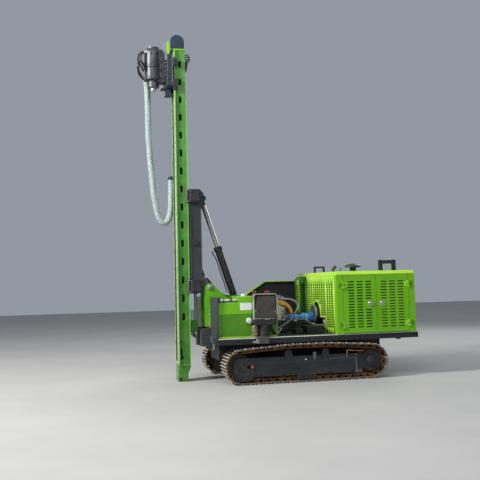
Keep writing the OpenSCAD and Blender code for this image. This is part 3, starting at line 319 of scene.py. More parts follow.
# The hose bundle: the head's pressure and return hoses in one translucent speckled sleeve of 112 mm, from
# the head's right rear down in a loop to a collar on the mast. The route is the one of the solid part.
bundle_y = -0.3
bundle_width = 0.112
route_mm = [
    (2335, 5060), (2323, 4900), (2317, 4700), (2315, 4400), (2308, 4100), (2292, 3800), (2272, 3550), (2250, 3250),
    (2222, 3040), (2185, 2830), (2145, 2700), (2100, 2635), (2060, 2615), (2015, 2640), (1975, 2715), (1950, 2850),
    (1940, 3010), (1935, 3180), (1935, 3350)]
bundle_route = [Vector((x / 1000 + machine_shift, bundle_y, z / 1000)) for x, z in route_mm]


def smooth_route(points, steps):
    # a Catmull-Rom curve through the route's points
    ends = [points[0] * 2 - points[1]] + points + [points[-1] * 2 - points[-2]]
    curve = []
    for i in range(1, len(ends) - 2):
        before, here, there, after = ends[i - 1:i + 3]
        for step in range(steps):
            t = step / steps
            curve.append(
                0.5 * (2 * here + (there - before) * t + (2 * before - 5 * here + 4 * there - after) * t ** 2
                    + (3 * here - before - 3 * there + after) * t ** 3))
    return curve + [points[-1]]


bundle_line = smooth_route(bundle_route, 10)
bundle_length = sum((b - a).length for a, b in zip(bundle_line, bundle_line[1:]))
sleeve_finish = coating(
    "speckled_sleeve", (0.42, 0.49, 0.51), (0.19, 0.23, 0.25), 0.6, patch=60, grain=160, relief=0.6, dust=0,
    stretch=(1, 1, 0.6))
sleeve = Piece("hose_sleeve")
rings = []
sleeve_sides = 28
for index, middle in enumerate(bundle_line):
    ahead = bundle_line[min(index + 1, len(bundle_line) - 1)] - bundle_line[max(index - 1, 0)]
    across = Vector((-ahead.z, 0, ahead.x)).normalized()
    ring = []
    for k in range(sleeve_sides):
        angle = 2 * math.pi * k / sleeve_sides
        # the sleeve lies in soft lobes over the hoses inside it
        radius = bundle_width / 2 * (0.955 + 0.045 * math.cos(5 * angle + 0.1 * index) * math.cos(0.23 * index))
        ring.append(
            sleeve.form.verts.new(middle + across * radius * math.cos(angle)
                + Vector((0, radius * math.sin(angle), 0))))
    rings.append(ring)
sleeve.skin(rings)
sleeve = sleeve.done(sleeve_finish, "mast", bevel=0, stands_for=("hose_bundle",), smooth=60)
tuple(bundle_line[0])


# The tracks: each is a closed chain of 45 forged links on pins, rusty brown where the shoes don't rub, and
# on every link a rolled shoe with three worn bars is held by four bolts.
link_count = 45
idler_x, idler_z, idler_reach = 1.076, 0.274, 0.222
sprocket_x, sprocket_z, sprocket_reach = -1.073, 0.277, 0.225
carrier_x, carrier_z, bend_reach = 0.308, 0.478, 0.07
wheels = [
    (idler_x, idler_z, idler_reach), (carrier_x, carrier_z, bend_reach), (-carrier_x, carrier_z, bend_reach),
    (sprocket_x, sprocket_z, sprocket_reach)]
arcs = []
for index, (x, z, reach) in enumerate(wheels):
    ahead_x, ahead_z, ahead_reach = wheels[(index + 1) % len(wheels)]
    gap = math.hypot(ahead_x - x, ahead_z - z)
    heading = math.atan2(ahead_z - z, ahead_x - x) + math.asin((reach - ahead_reach) / gap)
    arcs.append((heading, math.sqrt(gap ** 2 - (reach - ahead_reach) ** 2)))
pin_line = []
for index, (x, z, reach) in enumerate(wheels):
    came, goes = arcs[index - 1][0], arcs[index][0]
    turn = (goes - came) % (2 * math.pi)
    pin_line.append((reach * turn, "bend", x, z, reach, came))
    pin_line.append((arcs[index][1], "run", x + reach * math.sin(goes), z - reach * math.cos(goes), 0, goes))
pin_step = sum(part[0] for part in pin_line) / link_count


def pin_place(distance):
    for length, kind, x, z, reach, heading in pin_line:
        if distance <= length or (length, kind) == pin_line[-1][:2]:
            if kind == "bend":
                angle = heading - math.pi / 2 + distance / reach
                return Vector((x + reach * math.cos(angle), 0, z + reach * math.sin(angle)))
            return Vector((x + distance * math.cos(heading), 0, z + distance * math.sin(heading)))
        distance -= length


pins = [pin_place(k * pin_step) for k in range(link_count)]
chain_rust = coating(
    "chain_rust", (0.26, 0.11, 0.024), (0.03, 0.018, 0.01), 0.8, metal=0.2, patch=9, grain=70, relief=0.5, dust=0.15,
    dust_tone=(0.2, 0.12, 0.06), worn=(0.34, 0.2, 0.09), wear=0.4)
shoe_steel = coating(
    "worn_shoes", (0.088, 0.072, 0.05), (0.03, 0.023, 0.016), 0.55, metal=0.2, patch=11, grain=80, relief=0.35,
    dust=0.2, dust_tone=(0.2, 0.16, 0.1), worn=(0.5, 0.46, 0.38), wear=0.35)
bar_steel = coating(
    "rubbed_bars", (0.66, 0.61, 0.5), (0.3, 0.25, 0.18), 0.42, metal=0.15, patch=16, grain=80, relief=0.3, dust=0.1,
    worn=(0.92, 0.89, 0.8), wear=0.8)
track_middle = 0.8625
shoe_half = 0.1975
bar_proud = 0.0008
strand_middle, strand_half, strand_tuck = 0.058, 0.014, 0.0055
# outlines in shares of the pitch and metres outwards: the link with two eyes, a waist, the rail it rolls on
# and the seat of its shoe, and the shoe, a plate with a lapped front edge and three bars
link_outline = [
    (-0.1, -0.017), (0.02, -0.027), (0.16, -0.031), (0.84, -0.031), (0.98, -0.027), (1.1, -0.017), (1.13, 0.0),
    (1.09, 0.014), (0.93, 0.0265), (0.74, 0.027), (0.64, -0.008), (0.36, -0.008), (0.26, 0.027), (0.07, 0.0265),
    (-0.07, 0.014), (-0.13, 0.0)]
shoe_outline = [
    (0.015, 0.0275), (0.97, 0.0275), (1.015, 0.031), (1.0, 0.037), (0.955, 0.05), (0.895, 0.0515), (0.855, 0.049),
    (0.8, 0.0375), (0.585, 0.037), (0.545, 0.05), (0.455, 0.05), (0.415, 0.037), (0.2, 0.0375), (0.145, 0.049),
    (0.105, 0.0515), (0.045, 0.05), (0.02, 0.037)]
for track_name, track_y in (("left", track_middle), ("right", -track_middle)):
    chain = Piece("chain_" + track_name)
    shoes = Piece("shoes_" + track_name)
    bars = Piece("shoe_bars_" + track_name)
    for k in range(link_count):
        here, there = pins[k], pins[(k + 1) % link_count]
        along = (there - here).normalized()
        outward = Vector((along.z, 0, -along.x))
        pitch = (there - here).length

        def spot(share, rise, across):
            return here + along * (share * pitch) + outward * rise + Vector((0, across, 0))

        for side_sign in (-1, 1):
            middle = track_y + side_sign * strand_middle
            tuck = strand_tuck * side_sign
            chain.prism(
                *([spot(u, v, middle + half + (tuck if u > 0.5 else -tuck)) for u, v in link_outline]
                    for half in (-strand_half, strand_half)))
            for share in (0.3, 0.7):
                shoes.bolt(spot(share, 0.037, middle), outward, 0.009, 0.007, washer=False)
        for half, radius, sides in ((0.082, 0.0125, 12), (0.045, 0.021, 14)):
            chain.rod(spot(0, 0, track_y - half), spot(0, 0, track_y + half), radius, sides)
        shoes.prism(
            *([spot(u, v, edge) for u, v in shoe_outline] for edge in (track_y - shoe_half, track_y + shoe_half)))
        # the bars' tops are rubbed bright by the ground
        for u0, u1, top in ((0.05, 0.135, 0.0521), (0.462, 0.538, 0.0506), (0.865, 0.95, 0.0521)):
            outline = [(u0 - 0.012, 0.0435), (u1 + 0.012, 0.0435), (u1 - 0.004, top), (u0 + 0.004, top)]
            bars.prism(
                *([spot(u, v, edge) for u, v in outline]
                    for edge in (track_y - shoe_half - bar_proud, track_y + shoe_half + bar_proud)))
    chain.done(chain_rust, bevel=0.0016, segments=1, smooth=30)
    bars.done(bar_steel, bevel=0.0012, segments=1)
    shoes.done(shoe_steel, bevel=0.0018, segments=1, stands_for=("track_" + track_name,), smooth=30)


# Finishes of the running gear and the carrier: dark grey enamel under dust, slate enamel on what is bolted
# to the deck, and bare or worn steel where wheels and pins run.
dark_enamel = coating(
    "dark_enamel", (0.016, 0.018, 0.02), (0.01, 0.011, 0.012), 0.5, patch=5, dust=0.14, dust_tone=(0.14, 0.12, 0.1),
    worn=(0.07, 0.055, 0.045), wear=0.3)
slate_enamel = coating(
    "slate_enamel", (0.03, 0.037, 0.043), (0.019, 0.024, 0.029), 0.42, patch=4, dust=0.14, worn=(0.13, 0.135, 0.13),
    wear=0.25)
bare_steel = coating(
    "worn_steel", (0.55, 0.54, 0.52), (0.36, 0.34, 0.31), 0.34, metal=0.9, patch=12, dust=0.12)


def painted(node_name, finish, bevel):
    # a solid of the frame that keeps its shape and gets its finish and rounded edges
    solid = nodes[node_name]
    solid.data.materials.clear()
    solid.data.materials.append(finish)
    rounded(solid, bevel, 2, 50)


# Idlers, sprockets and rollers: cast and turned wheels, dark enamel worn off their treads, that keep the
# shapes of the frame; each axle ends in a cap held by bolts.
painted("idlers", dark_enamel, 0.003)
painted("sprockets", chain_rust, 0.002)
painted("rollers", dark_enamel, 0.002)
track_frame_tone = coating(
    "track_frame_enamel", (0.021, 0.025, 0.028), (0.013, 0.016, 0.019), 0.44, patch=2.5, dust=0.14,
    dust_tone=(0.16, 0.14, 0.11), worn=(0.08, 0.07, 0.06), wear=0.3)
wheel_z = 0.1404
for track_name, outer in (("left", 1), ("right", -1)):
    track_y = outer * track_middle
    painted("track_frame_" + track_name, track_frame_tone, 0.004)
    plate = track_y + outer * 0.112
    yoke_face = track_y + outer * 0.122
    gear = Piece("track_frame_bolts_" + track_name)
    for x, z in ((1.16, 0.13), (1.165, 0.31), (1.135, 0.355), (0.9, 0.075), (0.9, 0.345), (1.1, 0.075), (1.0, 0.065)):
        gear.bolt((x, yoke_face, z), (0, outer, 0), 0.01)
    for k in range(5):
        wheel_x = 0.0375 + 1.513 * (k / 4 - 0.5)
        gear.turned(
            (wheel_x, plate, wheel_z), (wheel_x, plate + outer * 0.012, wheel_z),
            [(0, 0.026), (0.7, 0.026), (1, 0.02)], 20)
        for angle in (0.5, 2.594, 4.688):
            gear.bolt(
                (wheel_x + 0.036 * math.cos(angle), plate, wheel_z + 0.03 * math.sin(angle)), (0, outer, 0), 0.0065,
                0.006, washer=False)
    # the cap of the final drive: bolted flange and stepped middle
    hub = Vector((sprocket_x, track_y + outer * 0.109, sprocket_z))
    for u, v in around(16, 0.146):
        gear.bolt(hub + Vector((u, 0, v)), (0, outer, 0), 0.0095)
    cap = hub + Vector((0, outer * 0.028, 0))
    gear.turned(cap, cap + Vector((0, outer * 0.022, 0)), [(0, 0.086), (0.45, 0.083), (1, 0.06)], 36)
    for u, v in around(8, 0.072, math.pi / 8):
        gear.bolt(cap + Vector((u, 0, v)), (0, outer, 0), 0.008, 0.014)
    gear.done(dark_enamel, segments=1)
    # the tensioner's round nut in its slot, orange with primer, and the white cap of the grease nipple
    nut = Piece("tension_nut_" + track_name)
    nut_x = 0.907
    nut.ring((nut_x, yoke_face - outer * 0.008, 0.266), (nut_x, yoke_face + outer * 0.007, 0.266), 0.021, 0.01)
    nut.done(
        coating("orange_primer_" + track_name, (0.55, 0.17, 0.03), (0.3, 0.09, 0.02), 0.6, patch=30), segments=1)
    nipple = Piece("grease_nipple_" + track_name)
    nipple.turned(
        (0.03, track_y + outer * 0.095, 0.345), (0.03, track_y + outer * 0.118, 0.338),
        [(0, 0.012), (0.6, 0.012), (0.75, 0.008), (1, 0.006)], 18)
    nipple.done(
        coating("white_cap_" + track_name, (0.78, 0.78, 0.76), (0.6, 0.6, 0.58), 0.4, patch=30),
        bevel=0.0015)
    # the bright end of the side plate, its top edge and the filler neck on the beam's top
    trim = Piece("track_frame_edges_" + track_name)
    trim.block(-0.82, -0.806, plate - outer * 0.001, plate + outer * 0.004, 0.092, 0.334)
    trim.block(-0.818, -0.35, plate - outer * 0.001, plate + outer * 0.004, 0.333, 0.339)
    neck_y = track_y + outer * 0.075
    trim.turned(
        (-0.126, neck_y, 0.34), (-0.126, neck_y, 0.452), [(0, 0.03), (0.7, 0.03), (0.72, 0.034), (1, 0.03)], 20)
    trim.done(
        coating("pale_slate_edge_" + track_name, (0.17, 0.21, 0.24), (0.09, 0.115, 0.135), 0.4, patch=14, dust=0.1), segments=1)
    # a rusty angle welded over the beam keeps stones off the upper run
    guard_bar = Piece("rusty_angle_" + track_name)
    guard_bar.profile(
        [(-0.655, 0.468), (-0.93, 0.44), (-0.93, 0.428), (-0.672, 0.447), (-0.672, 0.386), (-0.655, 0.386)],
        track_y + outer * 0.09, track_y + outer * 0.106)
    guard_bar.block(-0.672, -0.655, track_y + outer * 0.06, track_y + outer * 0.106, 0.35, 0.4)
    guard_bar.done(
        coating("angle_rust_" + track_name, (0.48, 0.26, 0.13), (0.24, 0.11, 0.05), 0.75, patch=14, relief=0.3,
            dust=0.1), segments=1)
    # the guard over the middle rollers with its two slots, as black blocks on its face: painted shade in the openings
    guard = Piece("roller_guard_slot_shade_" + track_name)
    guard_face = track_y + outer * 0.123
    for x0, x1 in ((-0.095, -0.015), (0.055, 0.135)):
        guard.block(x0, x1, guard_face - outer * 0.002, guard_face + outer * 0.003, 0.078, 0.106)
    guard.done(
        coating("guard_slot_shade_" + track_name, (0.012, 0.012, 0.012), (0.008, 0.008, 0.008), 0.8, patch=20), segments=1)


# The carrier's welded centre box, its cross arms and the tower under the swing ring: thick plate in dark
# enamel, with weld beads along the joints and bolts round the ring.
painted("center_frame", dark_enamel, 0.006)
painted("cross_arms", dark_enamel, 0.006)
painted("swing_ring", bare_steel, 0.002)
ring_z = 0.995
ring_bolts = Piece("swing_ring_bolts")
for v, u in around(28, 0.225):
    # no bolts above the top of the tower's plate
    if ring_z + v <= 1.19:
        ring_bolts.bolt((1.325, u, ring_z + v), (1, 0, 0), 0.011, 0.007)
for y in (-0.255, 0.255):
    for z in (0.8, 0.9, 1.0, 1.1):
        ring_bolts.bolt((1.325, y, z), (1, 0, 0), 0.012)
ring_bolts.done(bare_steel, segments=1)
welds = Piece("frame_weld_beads")
for y in (-0.281, 0.281):
    welds.rod((0.86, y, 1.158), (1.29, y, 1.158), 0.006, 8)
    welds.rod((1.293, y, 0.64), (1.293, y, 1.15), 0.006, 8)
for x in (-0.62, -0.42, 0.56, 0.76):
    for y in (-0.332, 0.332):
        welds.rod((x, y, 0.345), (x, y, 0.455), 0.006, 8)
welds.done(dark_enamel, bevel=0)

# The deck: a plate on side beams of folded channel in slate enamel, the beams darkened to near black as painted
# shade, bolted through its edge, with a bright lip down both sides and blocks under its front corners.
deck_top = 0.717
# painted shade: the side beams and their bolts take a near-black tone for the shade under the deck's edge
shaded_deck_tone = coating(
    "deck_beam_painted_shade", (0.014, 0.017, 0.021), (0.009, 0.011, 0.014), 0.38, patch=3, dust=0.06, worn=(0.05, 0.05, 0.05),
    wear=0.2)
painted("deck_plate", slate_enamel, 0.002)
painted("deck_beams", shaded_deck_tone, 0.004)
deck_edge = Piece("deck_edge_bolts")
for y_sign in (-1, 1):
    for k in range(18):
        deck_edge.bolt((-1.8 + k * 0.185, y_sign * 1.01, 0.672), (0, y_sign, 0), 0.009, 0.006)
for k in range(9):
    deck_edge.bolt((-1.89, -0.88 + k * 0.22, 0.672), (-1, 0, 0), 0.009, 0.006)
deck_edge.done(shaded_deck_tone, segments=1)
deck_lip = Piece("deck_lip")
for y_sign in (-1, 1):
    deck_lip.block(-1.885, 1.435, y_sign * 1.01, y_sign * 1.014, 0.703, deck_top)
deck_lip.done(
    coating("bright_edge", (0.72, 0.76, 0.62), (0.46, 0.51, 0.38), 0.4, patch=8, dust=0.1),
    segments=1)
corner = Piece("deck_front_corners")
for y_sign in (-1, 1):
    corner.profile(
        [(1.395, 0.63), (1.47, 0.63), (1.53, 0.68), (1.53, 0.752), (1.432, 0.752), (1.432, 0.718), (1.395, 0.718)],
        y_sign * 0.8, y_sign * 1.0)
corner.done(slate_enamel, bevel=0.006)

# Slate plates in front of the tanks, stiffened by a folded edge, and the notched cross block under the
# ring with its towing hooks, bright where shackles rub.
painted("front_frame", slate_enamel, 0.004)
grip = Piece("front_plate_fittings")
for y_sign in (-1, 1):
    grip.block(1.4, 1.4285, y_sign * 0.898, y_sign * 0.905, 0.72, 1.352)
    grip.block(1.37, 1.405, y_sign * 0.875, y_sign * 0.882, 1.268, 1.352)
    for z in (0.78, 0.95, 1.12, 1.29):
        grip.bolt((1.429, y_sign * 0.84, z), (1, 0, 0), 0.012)
        grip.bolt((1.429, y_sign * 0.4, z), (1, 0, 0), 0.012)
grip.done(slate_enamel, bevel=0.002)
hooks = Piece("towing_hooks")
for y_sign in (-1, 1):
    hooks.ring((1.374, y_sign * 0.212, 0.512), (1.374, y_sign * 0.244, 0.512), 0.034, 0.016, 28)
hooks.done(bare_steel, bevel=0.002)

# The tanks: folded and welded sheet, lime green above a crease where they lean in a little, in deeper shade
# below it, with a raised rear part, a bright bottom flange and a grey fitting plate on top.
lime = coating(
    "lime_enamel", (0.165, 0.47, 0.0015), (0.135, 0.41, 0.001), 0.3, patch=1.6, grain=220, relief=0.05, dust=0.04,
    dust_tone=(0.42, 0.46, 0.28), worn=(0.26, 0.38, 0.1), wear=0.12, coat=0.35)
deep_lime = coating(
    "shaded_lime_enamel", (0.075, 0.27, 0.0015), (0.055, 0.215, 0.001), 0.34, patch=1.6, grain=220, relief=0.05,
    dust=0.04, dust_tone=(0.4, 0.44, 0.28), worn=(0.28, 0.34, 0.16), wear=0.1, coat=0.3)
pale_lime = coating(
    "sunlit_lime_edge", (0.42, 0.72, 0.055), (0.36, 0.64, 0.04), 0.32, patch=2, dust=0.03, coat=0.3)
for tank_name, y_sign, rear in (("left", 1, 0.475), ("right", -1, 0.614)):
    tank = Piece("tank_shell_" + tank_name)
    tank.profile(
        [(y_sign * 0.35, 1.081), (y_sign * 0.88, 1.081), (y_sign * 0.86, 1.265), (y_sign * 0.35, 1.265)], rear, 1.404,
        along="x")
    tank.profile(
        [(y_sign * 0.352, 1.263), (y_sign * 0.857, 1.263), (y_sign * 0.846, 1.355), (y_sign * 0.352, 1.355)],
        rear + 0.002, 1.07, along="x")
    tank.done(lime, bevel=0.008, segments=3, stands_for=("tank_" + tank_name,))
    lower = Piece("tank_lower_shell_" + tank_name)
    lower.profile(
        [(y_sign * 0.35, 0.716), (y_sign * 0.88, 0.716), (y_sign * 0.88, 1.088), (y_sign * 0.35, 1.088)], rear, 1.404,
        along="x")
    lower.done(deep_lime, bevel=0.006, segments=3, slot="deep_green_paint")
    flange = Piece("tank_flange_" + tank_name)
    flange.block(rear - 0.004, 1.404, y_sign * 0.878, y_sign * 0.893, 0.716, 0.733)
    flange.block(1.392, 1.4045, y_sign * 0.868, y_sign * 0.889, 0.735, 1.262)
    flange.done(pale_lime, bevel=0.002)
    fitting_plate = Piece("tank_fittings_" + tank_name)
    fitting_plate.block(1.085, 1.4, y_sign * 0.4, y_sign * 0.853, 1.264, 1.282)
    for x in (1.13, 1.22, 1.31):
        fitting_plate.turned(
            (x, y_sign * 0.74, 1.28), (x, y_sign * 0.74, 1.322), [(0, 0.036), (0.5, 0.036), (0.55, 0.03), (1, 0.028)],
            24)
    fitting_plate.done(slate_enamel, bevel=0.002)
    caps = Piece("tank_caps_" + tank_name)
    for x, length in ((1.345, 0.075), (1.245, 0.085), (1.125, 0.065)):
        caps.turned(
            (x - length / 2, y_sign * 0.815, 1.3), (x + length / 2, y_sign * 0.815, 1.3),
            [(0, 0.012), (0.08, 0.018), (0.92, 0.018), (1, 0.012)], 16)
        caps.block(x - 0.012, x + 0.012, y_sign * 0.8, y_sign * 0.83, 1.283, 1.296)
    caps.turned(
        (0.93, y_sign * 0.62, 1.354), (0.93, y_sign * 0.62, 1.39), [(0, 0.05), (0.6, 0.05), (0.75, 0.042), (1, 0.04)],
        28)
    caps.done(
        coating("pale_fittings_" + tank_name, (0.8, 0.81, 0.8), (0.62, 0.63, 0.62), 0.32, metal=0.4, patch=18,
            dust=0.1), bevel=0.0015)
plate = Piece("blank_plate")
tank_lean = math.atan2(0.02, 0.184)
plate.block(0.85, 1.052, 0.8685, 0.8705, 1.14, 1.252, turn=("X", math.degrees(tank_lean)))
plate.done(
    coating("blank_white_plate", (0.78, 0.8, 0.8), (0.7, 0.72, 0.72), 0.4, patch=6, dust=0.1),
    bevel=0.0008, segments=1)

# The drive line in the open bay: the engine's block, the bell housing's bright machined flange, and the
# blue cast pumps in line behind each other with ribs, flanges and bolted heads.
painted("engine_block", dark_enamel, 0.006)
shaft_z = 1.015
pump_z = 0.95
bell = Piece("bell_flange")
bell.turned(
    (-0.575, 0, shaft_z), (-0.43, 0, shaft_z),
    [(0, 0.126), (0.55, 0.13), (0.66, 0.15), (0.72, 0.158), (0.95, 0.158), (1, 0.153)], 56)
bell.done(
    coating("bell_enamel", (0.07, 0.075, 0.08), (0.045, 0.05, 0.055), 0.4, patch=9, metal=0.4),
    bevel=0.002, stands_for=("bell_housing",))
rim = Piece("bell_rim")
rim.ring((-0.452, 0, shaft_z), (-0.426, 0, shaft_z), 0.163, 0.14, 56)
for u, v in around(12, 0.151):
    rim.bolt((-0.426, u, shaft_z + v), (1, 0, 0), 0.008, 0.008, washer=False)
rim.done(bare_steel, bevel=0.0015)
pump_blue = coating(
    "pump_blue", (0.1, 0.4, 0.74), (0.016, 0.115, 0.38), 0.36, patch=13, grain=120, relief=0.25, dust=0.08,
    worn=(0.3, 0.62, 0.85), wear=0.5, coat=0.3)
pumps = Piece("pump_bodies")
pumps.turned(
    (-0.35, 0, pump_z), (0.071, 0, pump_z), [(0, 0.066), (0.22, 0.066), (0.24, 0.074), (0.3, 0.074), (0.31, 0.056),
        (0.52, 0.056), (0.54, 0.066), (0.62, 0.066), (0.63, 0.052), (0.86, 0.052), (0.88, 0.062), (0.96, 0.062),
        (1, 0.048)], 40)
for x0, x1, half, top in ((-0.32, -0.25, 0.04, 0.078), (-0.15, -0.07, 0.036, 0.07), (-0.03, 0.03, 0.032, 0.066)):
    pumps.block(x0, x1, -half, half, pump_z, pump_z + top)
    pumps.block(x0 + 0.01, x1 - 0.01, 0.0, 0.084, pump_z - half, pump_z + half)
adapter = Piece("pump_adapter")
adapter.turned(
    (-0.428, 0, pump_z + 0.012), (-0.345, 0, pump_z),
    [(0, 0.108), (0.3, 0.108), (0.34, 0.09), (0.8, 0.078), (1, 0.078)], 40)
adapter.block(-0.41, -0.36, 0.0, 0.102, pump_z - 0.05, pump_z + 0.05)
adapter.done(
    coating("adapter_blue", (0.016, 0.085, 0.26), (0.008, 0.045, 0.16), 0.38, patch=12, grain=120, relief=0.25,
        dust=0.08), bevel=0.003)
for x in (-0.235, -0.1, 0.05):
    for u, v in around(8, 0.058):
        pumps.bolt((x, u, pump_z + v), (1, 0, 0), 0.007, 0.014, washer=False)
pumps.done(pump_blue, bevel=0.003, stands_for=("pump",))
valves = Piece("valve_bank")
bank_x = 0.091
section_ys = [-0.215 + k * 0.086 for k in range(6)]
valve_floor = Piece("valve_bank_foot")
valve_floor.block(bank_x, bank_x + 0.1, -0.25, 0.25, 0.735, 0.93)
for y in (-0.22, 0.22):
    valve_floor.block(bank_x + 0.01, bank_x + 0.09, y - 0.02, y + 0.02, 0.716, 0.75)
for k, y in enumerate(section_ys):
    valves.block(bank_x + 0.045, bank_x + 0.098, y - 0.036, y + 0.036, 0.93, 1.15 if k > 3 else 1.07)
    valves.turned(
        (bank_x + 0.06, y, 1.07), (bank_x + 0.06, y, 1.19), [(0, 0.022), (0.6, 0.022), (0.62, 0.013), (1, 0.013)], 16)
    valves.turned((bank_x + 0.084, y, 1.07), (bank_x + 0.084, y, 1.17), [(0, 0.014), (0.7, 0.014), (1, 0.01)], 12)
    valves.turned(
        (bank_x + 0.046, y, 0.98), (bank_x + 0.012, y, 0.98), [(0, 0.02), (0.5, 0.02), (0.55, 0.014), (1, 0.014)], 12)
valves.done(
    coating("valve_castings", (0.58, 0.55, 0.47), (0.24, 0.22, 0.18), 0.45, metal=0.3, patch=16, relief=0.3), bevel=0.004, stands_for=("valve_block",))
valve_floor.done(dark_enamel, bevel=0.003)
# painted shade: the ports are black discs on the bank's side for the shade in the holes
ports = Piece("valve_port_shade")
for x, z, radius in ((0.151, 1.118, 0.012), (0.172, 1.085, 0.014), (0.154, 1.03, 0.015), (0.174, 0.985, 0.012),
        (0.15, 0.96, 0.01)):
    ports.turned((x, 0.251, z), (x, 0.2535, z), [(0, radius), (1, radius)], 20)
ports.done(
    coating("port_hole_shade", (0.006, 0.006, 0.006), (0.004, 0.004, 0.004), 0.8, patch=20), bevel=0)

# What stands in the bay beside the pumps: dark boxes and filters, the ochre air duct, and a green stand with
# a pale brace.
bay_dark = coating(
    "bay_black", (0.018, 0.019, 0.021), (0.011, 0.012, 0.013), 0.5, patch=10, dust=0.25)
bay = Piece("bay_boxes")
bay.block(-0.4, -0.12, 0.3, 0.62, deck_top, 0.845)
bay.block(-0.06, 0.06, 0.34, 0.6, deck_top, 0.8)
bay.block(-0.38, 0.3, -0.62, -0.36, deck_top, 1.03)
for y in (0.4, 0.52):
    bay.turned((0.3, y - 0.12, 0.72), (0.3, y - 0.12, 0.93), [(0, 0.045), (0.1, 0.052), (0.9, 0.052), (1, 0.04)], 24)
bay.done(bay_dark, bevel=0.006)
duct = Piece("air_duct")
duct_rings = []
for k in range(17):
    angle = math.radians(96 - 104 * k / 16)
    # the duct narrows as it bends down to the pumps
    reach_x, reach_z, half = 0.21, 0.15 + 0.03 * math.sin(angle), 0.04 - 0.022 * k / 16
    middle = Vector((0.235 - math.cos(angle) * reach_x, 0.22, 1.045 + math.sin(angle) * reach_z))
    outward = Vector((-math.cos(angle), 0, math.sin(angle)))
    duct_rings.append(
        [duct.put(middle + outward * r + Vector((0, y, 0)))
         for r, y in ((-half, -0.05), (-half, 0.05), (half, 0.05), (half, -0.05))])
duct.skin(duct_rings)
duct.done(
    coating("ochre_duct", (0.46, 0.27, 0.045), (0.22, 0.115, 0.018), 0.42, patch=9, dust=0.08),
    bevel=0.008)
stand = Piece("bay_stand")
stand.block(0.452, 0.474, 0.6, 0.86, deck_top, 1.3)
stand.done(deep_lime, bevel=0.003)
edge = Piece("tank_rear_edge")
edge.block(0.447, 0.474, 0.858, 0.8805, 0.734, 1.352)
edge.done(
    coating("edge_pale_green", (0.27, 0.36, 0.17), (0.19, 0.27, 0.11), 0.45, patch=8, dust=0.1),
    bevel=0.003)
brace = Piece("bay_brace")
brace.rod((0.463, 0.8, 0.72), (0.36, 0.8, 0.838), 0.0085, 12)
brace.done(
    coating("pale_brace", (0.62, 0.64, 0.56), (0.42, 0.44, 0.38), 0.45, patch=20, dust=0.1),
    bevel=0)

# Hydraulic hoses of the bay: black rubber, two of grey rubber whose light patches are painted highlights, in an arc
# behind the console, along the pumps and from the valve sections under the deck's rear, with swaged ends.
rubber = coating(
    "black_rubber", (0.02, 0.021, 0.023), (0.012, 0.012, 0.013), 0.5, patch=14, grain=200, dust=0.25)
pale_rubber = coating(
    "worn_grey_hose", (0.36, 0.38, 0.38), (0.24, 0.25, 0.25), 0.45, patch=14, dust=0.15)
# painted highlight: the light patches of these grey hoses stand for their sheen
grey_hose_with_sheen = coating(
    "grey_hose_painted_sheen", (0.26, 0.255, 0.24), (0.06, 0.06, 0.062), 0.42, patch=7, dust=0.15)
hose(
    "bay_hose_arc", [(0.401, 0.7, 0.826), (0.346, 0.66, 0.845), (0.162, 0.62, 0.952), (0.053, 0.62, 1.098),
        (0.018, 0.62, 1.177), (0.069, 0.62, 1.243), (0.226, 0.62, 1.293), (0.3, 0.58, 1.29)], 0.017, grey_hose_with_sheen)
for k, (lift, y, tone) in enumerate(((0.0, 0.45, grey_hose_with_sheen), (-0.045, 0.44, rubber), (-0.016, 0.4, rubber))):
    hose(
        "bay_hose_%d" % k, [(0.075, y - 0.1, 0.93 + lift), (0.016, y, 0.932 + lift), (-0.085, y, 0.945 + lift),
            (-0.15, y, 0.935 + lift), (-0.23, y, 0.885 + lift), (-0.3, y, 0.852 + lift), (-0.485, y, 0.835 + lift)],
        0.016, tone)
fittings = Piece("bay_hose_fittings")
fittings.turned((0.05, 0.45, 0.925), (-0.02, 0.45, 0.932), [(0, 0.019), (0.3, 0.024), (0.7, 0.024), (1, 0.019)], 6)
fittings.turned((-0.27, 0.45, 0.87), (-0.31, 0.45, 0.855), [(0, 0.018), (0.3, 0.022), (0.7, 0.022), (1, 0.018)], 6)
fittings.block(-0.49, -0.462, 0.4, 0.47, 0.8, 0.93)
fittings.done(bare_steel, bevel=0.0015, segments=1)
for k, y in enumerate(section_ys[:5]):
    hose(
        "valve_hose_%d" % k, [(bank_x + 0.03, y, 1.14), (bank_x + 0.035, y, 1.21), (bank_x + 0.12, y + 0.03, 1.24),
            (0.34, y + 0.09, 1.12), (0.46, y * 0.9 + 0.1, 0.9), (0.6, y * 0.8, 0.8), (0.8, y * 0.7, 0.76)], 0.013,
        rubber)
elbow = Piece("deck_drain_elbow")
elbow.block(1.471, 1.5, 0.862, 0.884, 0.546, 0.64)
elbow.block(1.419, 1.5, 0.862, 0.884, 0.622, 0.642)
elbow.done(bare_steel, bevel=0.004)


# The hood: corner posts of folded sheet, a roof tray with chamfered edges, a perforated front panel towards
# the bay, slotted doors on hinges, and black sound foam behind every opening.
painted("hood_posts", lime, 0.003)
